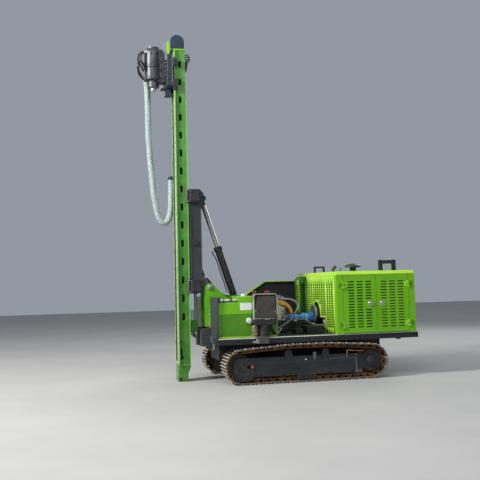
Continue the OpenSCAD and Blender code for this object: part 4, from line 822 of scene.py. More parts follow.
# The roof tray's bright yellow-green is painted sunlight: its top is lighter because light falls on it from above.
sunlit_roof_lime = coating(
    "roof_enamel_painted_sunlight", (0.46, 0.78, 0.045), (0.39, 0.7, 0.032), 0.3, patch=2, grain=220, relief=0.05, dust=0.05,
    dust_tone=(0.46, 0.5, 0.3), worn=(0.36, 0.44, 0.18), wear=0.12, coat=0.35)
painted("hood_roof", sunlit_roof_lime, 0.004)
painted("hood_rear_grille", deep_lime, 0.0015)
foam = coating(
    "sound_foam", (0.01, 0.011, 0.01), (0.006, 0.007, 0.006), 0.9, patch=30, grain=60, relief=0.5, dust=0.05)
lining = Piece("hood_sound_foam")
for x, y0, y1, z in ((-0.53, -0.9, -0.21, 0.73), (-0.53, 0.21, 0.9, 0.98), (-0.53, -0.21, 0.21, 1.24),
        (-1.785, -0.9, 0.9, 0.73)):
    lining.block(x - 0.015, x, y0, y1, z, 1.64)
lining.done(foam, bevel=0.002, segments=1)
roof_seam = Piece("roof_seams")
for y_sign in (-1, 1):
    roof_seam.block(-1.845, -0.5, y_sign * 1.0335, y_sign * 1.0385, 1.652, 1.662)
    for x in (-1.68, -1.3, -1.02, -0.66):
        roof_seam.bolt((x, y_sign * 0.9, 1.713), (0, 0, 1), 0.01)
roof_seam.done(pale_lime, segments=1)

# The front panel and the air duct beside the bay: 3 mm sheet punched with rows of slots, so thin that the
# dark foam shows through even from the side. The panel is cut out round the bell housing.
def punched(piece, corner, ys, zs, slots, width=0.074, height=0.023):
    # corner(y, z) puts a point of the flat sheet in its place; slots holds the centres of the holes
    half_w, half_h, nip = width / 2, height / 2, 0.006
    columns = sorted({round(y, 5) for y, z in slots})
    edges = sorted(set(ys) | {round(c + d, 5) for c in columns for d in (-half_w, half_w)})
    for y0, y1 in zip(edges, edges[1:]):
        middle = (y0 + y1) / 2
        holes = sorted(z for y, z in slots if abs(y - middle) < half_w - 0.001)
        levels = [zs(middle)[0]]
        for z in holes:
            levels += [z - half_h, z + half_h]
        levels.append(zs(middle)[1])
        for k in range(0, len(levels), 2):
            low = (levels[k], levels[k]) if k else (zs(y0)[0], zs(y1)[0])
            high = levels[k + 1]
            if high > max(low) + 0.0005:
                piece.faces(
                    [corner(y0, low[0]), corner(y1, low[1]), corner(y1, high), corner(y0, high)], [(0, 1, 2, 3)])
        for z in holes:
            for y, inward in ((y0, nip), (y1, -nip)):
                for edge, turn in ((z - half_h, nip), (z + half_h, -nip)):
                    piece.faces([corner(y, edge), corner(y + inward, edge), corner(y, edge + turn)], [(0, 1, 2)])


def thicken(made, depth):
    shell = made.modifiers.new("sheet", "SOLIDIFY")
    shell.thickness = depth
    shell.offset = 0


round_cut = 0.203
bay_half = 0.48
columns = (0.793, 0.686, 0.578, 0.413, 0.306, 0.198, 0.09, -0.017, -0.125, -0.235, -0.338, -0.441)
rows = [1.4955 - 0.0375 * k for k in range(19)]


def panel_edge(y):
    # the lower and the upper edge of the front panel at y
    if abs(y) < round_cut:
        return max(0.965, shaft_z + math.sqrt(round_cut ** 2 - y ** 2)), 1.655
    return (0.965 if abs(y) < bay_half else deck_top), 1.655


open_slots = [
    (y, z) for y in columns for z in rows if not (abs(y) < bay_half + 0.052 and z < 0.987)
    and math.hypot(y, z - shaft_z) > round_cut + 0.048 and z > 0.8]
panel = Piece("front_panel")
cuts = [-0.925, 0.925, -bay_half, bay_half] + [round(round_cut * math.cos(math.pi * k / 18), 5) for k in range(19)]
for part in ([c for c in cuts if c <= -bay_half], [c for c in cuts if abs(c) <= bay_half],
        [c for c in cuts if c >= bay_half]):
    low, high = min(part), max(part)
    punched(
        panel, lambda y, z: (-0.498, y, z), part,
        lambda y, low=low, high=high: panel_edge(min(max(y, low + 1e-6), high - 1e-6)),
        [slot for slot in open_slots if low < slot[0] - 0.03 and slot[0] + 0.03 < high])
sun_lime = coating(
    "sunlit_lime", (0.36, 0.68, 0.05), (0.29, 0.59, 0.035), 0.32, patch=2.2, grain=220, relief=0.05, dust=0.05,
    dust_tone=(0.4, 0.48, 0.26), coat=0.3)
thicken(panel.done(sun_lime, bevel=0, stands_for=("hood_front_grille",)), 0.003)
duct = Piece("front_duct")
duct_x, duct_y0, duct_y1, duct_cut, duct_top = -0.346, -0.759, -0.491, 0.055, 1.654
duct_slots = [(-0.5625, z) for z in rows if z > 0.749]
punched(
    duct, lambda y, z: (duct_x, y, z), [duct_y0, duct_y1], lambda y: (deck_top, duct_top - duct_cut), duct_slots,
    width=0.105)
duct.faces(
    [(duct_x, duct_y0, 1.599), (duct_x, duct_y1, 1.599), (duct_x - duct_cut, duct_y1 - duct_cut, duct_top),
     (duct_x - duct_cut, duct_y0, duct_top)], [(0, 1, 2, 3)])
duct.faces(
    [(-0.4975, duct_y0, duct_top), (-0.4975, duct_y1 - duct_cut, duct_top),
     (duct_x - duct_cut, duct_y1 - duct_cut, duct_top), (duct_x - duct_cut, duct_y0, duct_top)], [(0, 1, 2, 3)])
duct.faces(
    [(-0.4975, duct_y0, deck_top), (duct_x, duct_y0, deck_top), (duct_x, duct_y0, 1.599),
     (duct_x - duct_cut, duct_y0, duct_top), (-0.4975, duct_y0, duct_top)], [(0, 1, 2, 3, 4)])
# painted shade: the duct's front takes a dark green for the shadow that lies over it
shaded_duct_lime = coating(
    "duct_front_painted_shade", (0.055, 0.21, 0.006), (0.038, 0.16, 0.004), 0.34, patch=3, grain=200, relief=0.05, dust=0.04,
    coat=0.3)
thicken(duct.done(shaded_duct_lime, bevel=0), 0.003)
cheek = Piece("front_duct_cheek")
punched(
    cheek, lambda y, z: (-0.4215 + y, duct_y1, z), [-0.0755, 0.0755], lambda y: (deck_top, 1.599),
    [(0, z) for z in rows if z > 0.749])
cheek.faces(
    [(-0.497, duct_y1, 1.599), (duct_x, duct_y1, 1.599), (duct_x - duct_cut, duct_y1 - duct_cut, duct_top),
     (-0.497, duct_y1 - duct_cut, duct_top)], [(0, 1, 2, 3)])
# painted shade: the cheek's dark green stands for the shadow on it
shaded_cheek_green = coating(
    "cheek_painted_shade", (0.02, 0.135, 0.006), (0.013, 0.095, 0.004), 0.55, patch=3, grain=200, relief=0.05, dust=0.03)
thicken(cheek.done(shaded_cheek_green, bevel=0), 0.003)
# painted highlight: the corner and the strip of slots beside it take the sunlit lime, the one lit part of the duct
strip = Piece("front_duct_corner")
strip.block(-0.3475, -0.3435, -0.51, duct_y1 + 0.0005, 0.72, 1.597)
strip.block(-0.3475, -0.3435, -0.62, -0.51, 1.507, 1.597)
for y, z in duct_slots:
    strip.block(-0.3475, -0.3435, -0.62, -0.51, z - 0.026, z - 0.0115)
strip.done(pale_lime, segments=1)
duct_foam = Piece("front_duct_foam")
duct_foam.block(-0.494, -0.372, -0.738, -0.512, 0.73, 1.58)
duct_foam.done(foam, bevel=0.002, segments=1)
bay_lip = Piece("front_panel_lip")
for y_sign in (-1, 1):
    bay_lip.block(-0.5005, -0.4915, y_sign * 0.468, y_sign * 0.48, deck_top, 0.965)
    bay_lip.block(-0.5005, -0.4915, y_sign * 0.203, y_sign * 0.48, 0.962, 0.972)
for k in range(20):
    angles = [math.radians(-14 + 208 * (k + d) / 20) for d in (0, 1)]
    bay_lip.faces(
        [(x, math.cos(a) * r, shaft_z + math.sin(a) * r) for x in (-0.5005, -0.4915) for a in angles
         for r in (0.203, 0.212)], box_loops)
for y in (0.88, 0.7, 0.5, 0.3, 0.05, -0.25):
    bay_lip.bolt((-0.4965, y, 1.61), (1, 0, 0), 0.008, 0.006)
bay_lip.done(pale_lime, segments=1)

# The doors: flat sheet with three columns of slots, a folded rim inside, foam behind, a round silver lock
# with a small handle and two wedge hinges of pressed steel.
lock_steel = coating(
    "lock_steel", (0.6, 0.61, 0.6), (0.44, 0.45, 0.45), 0.28, metal=0.85, patch=25, dust=0.08)
door_tone = coating(
    "door_enamel", (0.15, 0.46, 0.0015), (0.12, 0.39, 0.001), 0.32, patch=1.8, grain=220, relief=0.05, dust=0.05,
    dust_tone=(0.36, 0.42, 0.26), worn=(0.28, 0.34, 0.16), wear=0.1, coat=0.35)
door_mid = -1.1725
for door_name, y_sign, hinge_x, way in (("left_front", 1, -0.606, -1), ("left_rear", 1, -1.739, 1),
        ("right_front", -1, -0.606, -1), ("right_rear", -1, -1.739, 1)):
    body = "door_" + door_name
    painted(body, door_tone, 0.0015)
    free = door_mid - way * 0.003
    near, far = sorted((hinge_x + way * 0.02, free - way * 0.012))
    leaf = (y_sign * 1.0352, y_sign * 1.0412)
    back = Piece("door_foam_" + door_name)
    back.block(near + 0.02, far - 0.02, y_sign * 0.985, y_sign * 1.012, 0.76, 1.62)
    back.done(foam, body, bevel=0.003, segments=1)
    rim = Piece("door_rim_" + door_name)
    rim.block(near, far, y_sign * 0.995, y_sign * 1.019, 0.735, 0.739)
    rim.block(near, far, y_sign * 0.995, y_sign * 1.019, 1.636, 1.64)
    rim.done(door_tone, body, bevel=0.0006, segments=1)
    # the lips of the slots, pressed outwards by 2 mm
    lips = Piece("door_slot_lips_" + door_name)
    for column in range(3):
        for row in range(17):
            x = free - way * (0.13 + column * 0.148)
            z = 1.54 - row * 0.045
            if column == 0 and abs(z - 1.188) < 0.062:
                continue
            lips.block(x - 0.05, x + 0.05, y_sign * 1.034, y_sign * 1.0375, z + 0.0095, z + 0.0135)
    lips.done(pale_lime if way > 0 and y_sign > 0 else door_tone, body, bevel=0.0008, segments=1)
    lock = Piece("door_lock_" + door_name)
    lock_x = free - way * 0.097
    lock.turned(
        (lock_x, y_sign * 1.035, 1.188), (lock_x, y_sign * 1.0485, 1.188),
        [(0, 0.0435), (0.7, 0.0435), (0.85, 0.04), (1, 0.036)], 32)
    lock.block(lock_x - 0.008, lock_x + 0.008, y_sign * 1.048, y_sign * 1.054, 1.156, 1.212)
    lock.block(lock_x - 0.03, lock_x + 0.03, y_sign * 1.0475, y_sign * 1.0515, 1.166, 1.176)
    lock.ring((lock_x, y_sign * 1.046, 1.188), (lock_x, y_sign * 1.0505, 1.188), 0.042, 0.034, 32)
    lock.turned((lock_x, y_sign * 1.048, 1.198), (lock_x, y_sign * 1.056, 1.198), [(0, 0.013), (1, 0.011)], 18)
    lock.done(lock_steel, body)
    pad = Piece("door_hinge_leaf_" + door_name)
    fixed = Piece("post_hinge_leaf_" + door_name)
    for z in (0.858, 1.49):
        for hinge, side_way, reach, wide, slim, bolt_reach, bolt_rise in ((pad, way, 0.066, 0.052, 0.03, 0.05, 0.018),
                (fixed, -way, 0.07, 0.064, 0.04, 0.055, 0.022)):
            near, far = hinge_x + side_way * 0.004, hinge_x + side_way * reach
            hinge.profile([(near, z - wide), (far, z - slim), (far, z + slim), (near, z + wide)], *leaf)
            for dz in (-bolt_rise, bolt_rise):
                hinge.bolt(
                    (hinge_x + side_way * bolt_reach, leaf[1], z + dz), (0, y_sign, 0), 0.007, 0.004, washer=False)
    pad.done(pale_lime, body)
    fixed.done(deep_lime)

# On the roof: the black mushroom hat of the air intake, two square grab handles on foot plates, the
# exhaust's bent outlet and a short stub behind it.
satin_black = coating(
    "satin_black", (0.022, 0.023, 0.026), (0.014, 0.015, 0.017), 0.35, patch=8, dust=0.22)
hat = Piece("intake_hat")
hat_x = -0.9545
hat.turned(
    (hat_x, 0.6, 1.713), (hat_x, 0.6, 1.843), [(0, 0.066), (0.05, 0.066), (0.06, 0.053), (0.5, 0.053), (0.52, 0.118),
        (0.54, 0.134), (0.66, 0.135), (0.72, 0.131), (0.84, 0.112), (0.94, 0.082), (1, 0.04)], 48)
hat.turned((hat_x, 0.6, 1.842), (hat_x, 0.6, 1.852), [(0, 0.012), (1, 0.01)], 12)
hat.done(satin_black, bevel=0.0015, stands_for=("intake_cap",), smooth=45)
painted("roof_arches", satin_black, 0.006)
feet = Piece("handle_feet")
for x in (-1.688, -1.45):
    feet.block(x - 0.05, x + 0.05, 0.57, 0.63, 1.7132, 1.7215)
    feet.block(x - 0.018, x + 0.018, 0.586, 0.614, 1.8932, 1.901)
for x in (-0.866, -0.696):
    feet.block(x - 0.03, x + 0.03, -0.65, -0.59, 1.7132, 1.7205)
feet.done(satin_black, bevel=0.002)
hose(
    "exhaust_outlet", [(-1.02, -0.55, 1.712), (-1.02, -0.55, 1.76), (-1.035, -0.55, 1.8), (-1.075, -0.55, 1.825)],
    0.028,
    coating("burnt_steel", (0.1, 0.085, 0.075), (0.05, 0.045, 0.042), 0.5, metal=0.8, patch=20))
hose("hood_stub", [(-1.16, -0.55, 1.712), (-1.16, -0.55, 1.8)], 0.008, satin_black)

# The cover of the far side: one upright sheet with a rim turned in along its top, its slope and its front
# end, lime outside; inside it a dark lining sheet stands for the shade there, a painted shade. The edge of the rim is
# a painted sunlit highlight.
painted("side_cover", lime, 0.003)
# painted shade: a dark sheet lines the inside of the cover where it lies in shadow
cover_inside_shade = coating(
    "cover_inside_painted_shade", (0.028, 0.034, 0.034), (0.016, 0.02, 0.021), 0.7, patch=4, grain=60, relief=0.3, dust=0.05)
inside = Piece("side_cover_inside_shade")
inside.profile([(-0.49, 0.718), (0.592, 0.718), (0.592, 1.298), (0.15, 1.576), (-0.49, 1.576)], -1.0185, -1.006)
inside.profile(
    [(-0.49, 1.5785), (0.151, 1.5785), (0.5938, 1.2995), (0.5938, 0.73), (0.588, 0.73), (0.588, 1.296),
     (0.149, 1.5725), (-0.49, 1.5725)], -1.006, -0.968)
inside.done(cover_inside_shade, segments=1)
rim = [
    (0.6115, 0.735), (0.6115, 1.3115), (0.1585, 1.5965), (-0.493, 1.5965), (-0.493, 1.5785), (0.1525, 1.5785),
    (0.594, 1.3005), (0.594, 0.735)]
# painted highlight: the rim's edge takes the sunlit lime
lip = Piece("side_cover_lip_highlight")
lip.profile(rim, -0.9608, -0.9565)
lip.done(pale_lime)

# The control console on its post: a dark moulded box in a pale steel frame, a brown padded cover clipped
# over its face, a row of red-knobbed levers on top and a rubber bellows round the post below.
console = Piece("console_shell")
console.profile(
    [(0.53, 0.905), (0.872, 0.905), (0.872, 1.36), (0.852, 1.38), (0.517, 1.38), (0.497, 1.36), (0.497, 1.025)],
    0.894, 1.028)
console.block(0.545, 0.868, 1.02, 1.046, 0.905, 0.992)
console.done(
    coating("console_black", (0.026, 0.025, 0.024), (0.014, 0.014, 0.014), 0.45, patch=12, grain=260, relief=0.2,
        dust=0.12), bevel=0.01, segments=3, stands_for=("console_box",))
frame_tone = coating(
    "console_frame", (0.36, 0.4, 0.32), (0.16, 0.2, 0.13), 0.42, patch=9, dust=0.12)
console_frame = Piece("console_frame")
console_frame.profile(
    [(0.487, 1.03), (0.506, 1.03), (0.506, 1.352), (0.534, 1.376), (0.842, 1.376), (0.862, 1.352), (0.862, 0.992),
     (0.88, 0.992), (0.88, 1.362), (0.852, 1.392), (0.524, 1.392), (0.487, 1.362)], 0.985, 1.049)
console_frame.block(0.517, 0.852, 0.9, 0.99, 1.376, 1.392)
console_frame.done(frame_tone, bevel=0.004)
cover = Piece("console_cover")
cover.profile(
    [(0.526, 1.018), (0.858, 1.018), (0.857, 1.1), (0.838, 1.22), (0.812, 1.335), (0.792, 1.352), (0.56, 1.352),
     (0.533, 1.336), (0.526, 1.22), (0.522, 1.1)], 1.026, 1.048)
for low, high, x0, x1 in ((1.06, 1.066, 0.55, 0.84), (1.105, 1.111, 0.57, 0.82)):
    cover.rod((x0, 1.0475, low), (x1, 1.0475, high), 0.0035, 8)
cover.done(
    coating("brown_vinyl", (0.072, 0.062, 0.054), (0.036, 0.031, 0.027), 0.5, patch=13, grain=180, relief=0.5,
        dust=0.16, dust_tone=(0.16, 0.145, 0.13)), bevel=0.009, segments=4)
clips = Piece("console_cover_clips")
clips.block(0.54, 0.85, 1.044, 1.0515, 1.0, 1.009)
clips.block(0.63, 0.7, 1.046, 1.0555, 0.99, 1.002)
clips.block(0.53, 0.545, 1.046, 1.052, 1.1, 1.12)
clips.block(0.838, 0.852, 1.046, 1.052, 1.12, 1.14)
clips.done(lock_steel, bevel=0.002)
levers = Piece("console_levers_knobs")
for x in (0.637, 0.846):
    for dx in (-0.02, 0.02):
        levers.rod((x + dx, 0.972, 1.38), (x + dx, 0.972, 1.41), 0.005, 10)
        levers.turned(
            (x + dx, 0.972, 1.402), (x + dx, 0.972, 1.434), [(0, 0.007), (0.25, 0.0135), (0.7, 0.0135), (1, 0.007)],
            20)
levers.done(
    coating("red_knobs", (0.4, 0.012, 0.01), (0.26, 0.008, 0.007), 0.3, patch=40, dust=0.05, coat=0.5), bevel=0.0008, stands_for=("console_levers",))
hose("console_antenna", [(0.545, 0.96, 1.385), (0.545, 0.96, 1.425)], 0.004, satin_black)
lamp = Piece("work_lamp")
lamp_place = Vector((0.924, 0, 0.977))
lamp.turned(
    lamp_place + Vector((0, 0.885, 0)), lamp_place + Vector((0, 0.944, 0)),
    [(0, 0.02), (0.2, 0.036), (0.6, 0.048), (0.9, 0.048), (1, 0.043)], 36)
lamp.block(0.872, 0.9, 0.9, 0.925, 0.965, 0.989)
lamp.done(
    coating("lamp_shell", (0.66, 0.68, 0.64), (0.5, 0.52, 0.49), 0.3, metal=0.3, patch=20, dust=0.1), bevel=0.002, stands_for=("console_lamp",))
lens = Piece("work_lamp_lens")
lens.turned(
    lamp_place + Vector((0, 0.9435, 0)), lamp_place + Vector((0, 0.951, 0)), [(0, 0.041), (0.5, 0.036), (1, 0.012)],
    32)
for u, v in around(5, 0.018):
    lens.turned(lamp_place + Vector((u, 0.95, v)), lamp_place + Vector((u, 0.9535, v)), [(0, 0.007), (1, 0.005)], 12)
lens.done(
    coating("lamp_glass", (0.75, 0.78, 0.78), (0.45, 0.5, 0.5), 0.12, patch=60, dust=0.05, coat=0.8), bevel=0.0006)
# painted highlight: the black rubber bellows is given a tan tone for the sunlight on its ribs
bellows = Piece("console_post_bellows")
post_x = 0.846
post_profile = [(0, 0.05), (0.07, 0.05), (0.075, 0.03)]
for k in range(7):
    low = 0.2 + k * 0.105
    post_profile += [(low, 0.03), (low + 0.03, 0.053), (low + 0.06, 0.053), (low + 0.09, 0.03)]
bellows.turned((post_x, 0.972, 0.7155), (post_x, 0.972, 0.905), post_profile + [(1, 0.028)], 36)
bellows.block(post_x - 0.03, post_x + 0.03, 0.8805, 0.972, 0.729, 0.761)
bellows.done(
    coating("bellows_painted_sunlit_tan", (0.38, 0.31, 0.21), (0.16, 0.125, 0.085), 0.6, patch=20, dust=0.2),
    bevel=0.0015, stands_for=("console_post",), smooth=50)
stem = Piece("console_stem")
stem_ribs = [
    (0.06 + 0.094 * k + share, radius) for k in range(10)
    for share, radius in ((0, 0.072), (0.03, 0.09), (0.06, 0.09), (0.088, 0.072))]
stem.turned((0.695, 0.965, deck_top), (0.695, 0.965, 0.906), [(0, 0.08)] + stem_ribs + [(1, 0.086)], 36)
stem.block(0.62, 0.8, 0.9, 0.93, 0.735, 0.905)
stem.block(0.624, 0.82, 0.882, 1.05, 0.7165, 0.734)
stem.block(0.64, 0.806, 1.024, 1.05, 0.622, 0.7165)
stem.done(
    coating("dusty_bellows", (0.04, 0.036, 0.032), (0.012, 0.011, 0.01), 0.5, patch=14, dust=0.3,
        dust_tone=(0.22, 0.19, 0.15), worn=(0.2, 0.18, 0.15), wear=0.5), bevel=0.003)
fitting = Piece("console_drain_fittings")
fitting.turned((0.838, 1.034, 0.65), (0.9, 1.034, 0.646), [(0, 0.02), (0.35, 0.02), (0.4, 0.012), (1, 0.01)], 6)
fitting.block(0.806, 0.842, 1.026, 1.046, 0.628, 0.69)
fitting.profile([(0.492, 1.352), (0.405, 1.358), (0.45, 1.318), (0.492, 1.306)], 0.915, 0.955)
fitting.profile([(0.44, 1.322), (0.368, 1.34), (0.352, 1.318), (0.425, 1.296)], 0.905, 0.945)
fitting.rod((0.5, 0.93, 1.31), (0.33, 0.93, 1.292), 0.01, 12)
fitting.done(bare_steel, segments=1)
for k, (x, y) in enumerate(((0.58, 0.95), (0.61, 0.98), (0.64, 0.93))):
    hose(
        "console_hose_%d" % k, [(x, y - 0.04, 0.93), (x - 0.02, y - 0.04, 0.86), (x - 0.06, y - 0.06, 0.79),
            (x - 0.12, y - 0.1, 0.752), (x - 0.24, y - 0.2, 0.742)], 0.011, rubber)


# The swing bracket: two lime cheeks of flame-cut plate welded to a round turning plate with a ring of bolts,
# and the tilt pin and the cylinder's foot pin through them.
painted(
    "swing_bracket", coating("bracket_enamel", (0.125, 0.43, 0.006), (0.075, 0.29, 0.004), 0.33, patch=2.5, grain=200,
        relief=0.06, dust=0.08, worn=(0.3, 0.42, 0.14), wear=0.25, coat=0.3), 0.004)
pins = Piece("bracket_pin_heads")
for y_sign in (-1, 1):
    for x, z, radius in ((1.392, 1.505, 0.044), (0.94, 1.318, 0.034)):
        low = Vector((x, y_sign * 0.2035, z))
        pins.turned(low, low + Vector((0, y_sign * 0.007, 0)), [(0, radius), (0.6, radius), (1, radius * 0.9)], 32)
        pins.bolt(low + Vector((0, y_sign * 0.006, 0)), (0, y_sign, 0), radius * 0.4, 0.008)
pins.done(bare_steel, "swing")
seams = Piece("bracket_weld_beads")
for y in (-0.192, -0.163, 0.163, 0.192):
    seams.rod((1.402, y, 0.885), (1.402, y, 1.22), 0.005, 8)
seams.done(lime, "swing", bevel=0)
flange = Piece("turning_plate_bolts")
for u, v in around(22, 0.235):
    flange.bolt((1.3992, u, ring_z + v), (1, 0, 0), 0.013, 0.011)
flange.done(bare_steel, "swing", bevel=0.0008)

# The tilt cylinder: a black welded barrel with a pipe along it, bands round it and bare unions, and a hard
# chromed rod with a forged eye.
cylinder_black = coating(
    "cylinder_enamel", (0.012, 0.013, 0.014), (0.006, 0.007, 0.008), 0.28, patch=5, grain=160, relief=0.08, dust=0.1,
    dust_tone=(0.2, 0.19, 0.17), worn=(0.1, 0.1, 0.1), wear=0.2, coat=0.35)
chrome = coating(
    "hard_chrome", (0.6, 0.57, 0.55), (0.5, 0.48, 0.47), 0.16, metal=0.92, patch=9, grain=300, relief=0.04, dust=0.03,
    stretch=(1, 1, 0.2))
painted("tilt_barrel", cylinder_black, 0.004)
painted("tilt_rod", chrome, 0.003)
foot = Vector((0.94, 0, 1.318))
eye = Vector((1.478, 0, 2.985))
along = (eye - foot).normalized()
flat = Vector((along.z, 0, -along.x))


def on_barrel(distance, sideways, y=0.0):
    return foot + along * distance + flat * sideways + Vector((0, y, 0))


bands = Piece("barrel_bands")
bands.turned(on_barrel(0.838, 0), on_barrel(0.905, 0), [(0, 0.0705), (0.05, 0.0725), (0.95, 0.0725), (1, 0.069)], 36)
bands.turned(on_barrel(0.904, 0), on_barrel(0.914, 0), [(0, 0.058), (1, 0.046)], 36)
bands.turned(on_barrel(0.3, 0), on_barrel(0.325, 0), [(0, 0.0635), (0.1, 0.066), (0.9, 0.066), (1, 0.0635)], 36)
bands.done(cylinder_black, "barrel")
unions = Piece("barrel_unions")
for distance, sideways in ((0.14, 0.062), (0.86, 0.072)):
    low = on_barrel(distance, sideways)
    unions.turned(low, low + flat * 0.035, [(0, 0.018), (0.6, 0.018), (0.62, 0.013), (1, 0.013)], 6)
unions.done(bare_steel, "barrel")
hose(
    "barrel_pipe", [on_barrel(0.86, 0.105), on_barrel(0.83, 0.114), on_barrel(0.77, 0.094), on_barrel(0.5, 0.088),
        on_barrel(0.2, 0.09), on_barrel(0.14, 0.098)], 0.009, satin_black, "barrel")
rod_eye = Piece("rod_eye")
rod_eye.turned(
    eye + Vector((0, -0.056, 0)), eye + Vector((0, 0.056, 0)),
    [(0, 0.056), (0.04, 0.0595), (0.96, 0.0595), (1, 0.056)], 36)
rod_eye.turned(eye - along * 0.115, eye - along * 0.045, [(0, 0.044), (0.2, 0.047), (1, 0.05)], 30)
rod_eye.done(cylinder_black, "rod", bevel=0.002)

# The cradle that carries the mast: a channel of slate-grey plate open to the rear, with bosses for the
# pins. The lift cylinder stands inside it, and hoses run down its back to the chassis.
slate = coating(
    "slate_plate", (0.04, 0.046, 0.052), (0.026, 0.03, 0.035), 0.36, patch=3, grain=170, relief=0.1, dust=0.16,
    dust_tone=(0.22, 0.21, 0.19), worn=(0.16, 0.17, 0.17), wear=0.35, coat=0.2)
slate_edge = coating(
    "slate_worn_edge", (0.17, 0.18, 0.18), (0.09, 0.1, 0.1), 0.4, patch=16, dust=0.2)
painted("cradle", slate, 0.004)
painted("lift_barrel", cylinder_black, 0.003)
bosses = Piece("cradle_bosses")
# painted shade: the bores of the bosses are black discs for the shade in the holes
hollow = Piece("cradle_boss_hole_shade")
for y_sign in (-1, 1):
    for x, z, radius, y in ((1.62, 2.25, 0.052, 0.15), (1.478, 2.985, 0.054, 0.15)):
        low = Vector((x, y_sign * y, z))
        bosses.ring(low, low + Vector((0, y_sign * 0.017, 0)), radius, radius * 0.7, 36)
        hollow.turned(low, low + Vector((0, y_sign * 0.0145, 0)), [(0, radius * 0.7), (1, radius * 0.7)], 30)
    low = Vector((1.612, y_sign * 0.164, 2.24))
    bosses.turned(low, low + Vector((0, y_sign * 0.006, 0)), [(0, 0.017), (1, 0.013)], 18)
bosses.done(slate, "cradle", bevel=0.0015)
hollow.done(satin_black, "cradle")
stiffeners = Piece("cradle_edges")
for y_sign in (-1, 1):
    stiffeners.block(1.506, 1.514, y_sign * 0.1502, y_sign * 0.153, 1.74, 2.8)
    stiffeners.block(1.688, 1.699, y_sign * 0.1502, y_sign * 0.153, 1.66, 2.91)
stiffeners.block(1.6995, 1.7025, -0.15, 0.15, 1.66, 2.91)
stiffeners.done(slate_edge, "cradle", bevel=0.0008, segments=1)
for k, (dx, y) in enumerate(((0.0, 0.04), (0.03, 0.085), (-0.02, -0.05))):
    hose(
        "cradle_hose_%d" % k,
        [(1.6 + dx, y, 2.62), (1.545 + dx, y, 2.45), (1.535, y, 2.1), (1.5, y, 1.82), (1.462, y, 1.7)], 0.01, rubber,
        "cradle")
for k, y in enumerate((0.06, 0.1)):
    hose(
        "elbow_hose_%d" % k,
        [(1.425, y, 1.66), (1.37, y, 1.6), (1.3, y + 0.02, 1.47), (1.2, y + 0.06, 1.4), (1.1, y + 0.12, 1.372)],
        0.011, rubber, "swing")

# The guide clamps: heavy black blocks bolted round the mast's rear rails at both ends of the cradle, each
# with a brown-black cover plate and pale keeper strips.
painted("guide_clamps", satin_black, 0.004)
keeper = Piece("clamp_keepers")
clamp_zs = (1.43, 2.918)
for y_sign in (-1, 1):
    for z in clamp_zs:
        for x0, x1, low, high in ((1.7515, 1.762, 0.004, 0.206), (1.712, 1.7515, 0.196, 0.206),
                (1.712, 1.7515, 0.004, 0.014)):
            keeper.block(x0, x1, y_sign * 0.2138, y_sign * 0.2175, z + low, z + high)
        for dz in (0.03, 0.075, 0.12, 0.165, 0.19):
            keeper.bolt((1.697, y_sign * 0.2142, z + dz), (0, y_sign, 0), 0.008, 0.006, washer=False)
keeper.done(
    coating("keeper_steel", (0.42, 0.42, 0.39), (0.2, 0.2, 0.19), 0.4, metal=0.4, patch=30, dust=0.15), "cradle", bevel=0.0008, segments=1)
clamp_plate = Piece("clamp_plates")
for y_sign in (-1, 1):
    for z in clamp_zs:
        clamp_plate.block(1.545, 1.685, y_sign * 0.2135, y_sign * 0.2165, z + 0.022, z + 0.188)
        for x in (1.56, 1.67):
            for dz in (0.035, 0.105, 0.175):
                clamp_plate.bolt((x, y_sign * 0.2165, z + dz), (0, y_sign, 0), 0.009, 0.006)
clamp_plate.done(
    coating("clamp_brown_black", (0.036, 0.031, 0.031), (0.02, 0.018, 0.019), 0.42, patch=9, dust=0.14), "cradle", bevel=0.0012)

# The lift cylinder's rod: chromed steel, pinned to a lime lug on the mast's back and held by a lock nut
# under the lug.
painted("lift_rod", chrome, 0.001)
gland = Piece("lift_gland")
gland.ring((1.605, 0, 1.405), (1.605, 0, 1.42), 0.038, 0.0265, 32)
gland.done(bare_steel, "cradle")
lift_end = Piece("lift_nut")
lift_end.turned((1.605, 0, 0.753), (1.605, 0, 0.7835), [(0, 0.036), (0.9, 0.04), (1, 0.04)], 6)
lift_end.turned((1.605, 0, 0.737), (1.605, 0, 0.754), [(0, 0.02), (0.2, 0.024), (1, 0.024)], 24)
lift_end.done(bare_steel, "mast", bevel=0.0012)


# The mast: a lime box column 5.5 m tall with rails along both faces and a row of long slots in each side.
# It is welded of plate, deeper in tone towards its foot; its front face and its rails' edges are painted lighter as
# sunlit highlights, with rubbed wear spots on them.
mast_lime = coating(
    "mast_enamel", (0.085, 0.31, 0.042), (0.055, 0.225, 0.028), 0.34, patch=1.1, grain=200, relief=0.06, dust=0.07,
    dust_tone=(0.38, 0.44, 0.3), worn=(0.34, 0.44, 0.22), wear=0.12, coat=0.35, lower=((0.03, 0.17, 0.002), 0.5, 3.4))
painted("mast_column", mast_lime, 0.0015)
# painted highlights: light strips along the front and rear edges of each side, with wear spots; the slot rims and
# foot trim share this lit tone
strips = Piece("mast_rail_edge_highlights")
for y_sign in (-1, 1):
    strips.block(1.9085, 1.9215, y_sign * 0.1795, y_sign * 0.1815, 0.275, 5.475)
    strips.block(1.7265, 1.7395, y_sign * 0.1795, y_sign * 0.1815, 0.275, 4.65)
lit_rail_lime = coating(
    "lit_rail_lime", (0.2, 0.5, 0.09), (0.12, 0.36, 0.05), 0.3, patch=3, grain=220, relief=0.05, dust=0.05,
    worn=(0.4, 0.52, 0.3), wear=0.3)
strips.done(lit_rail_lime, "mast", bevel=0.0006, segments=1)
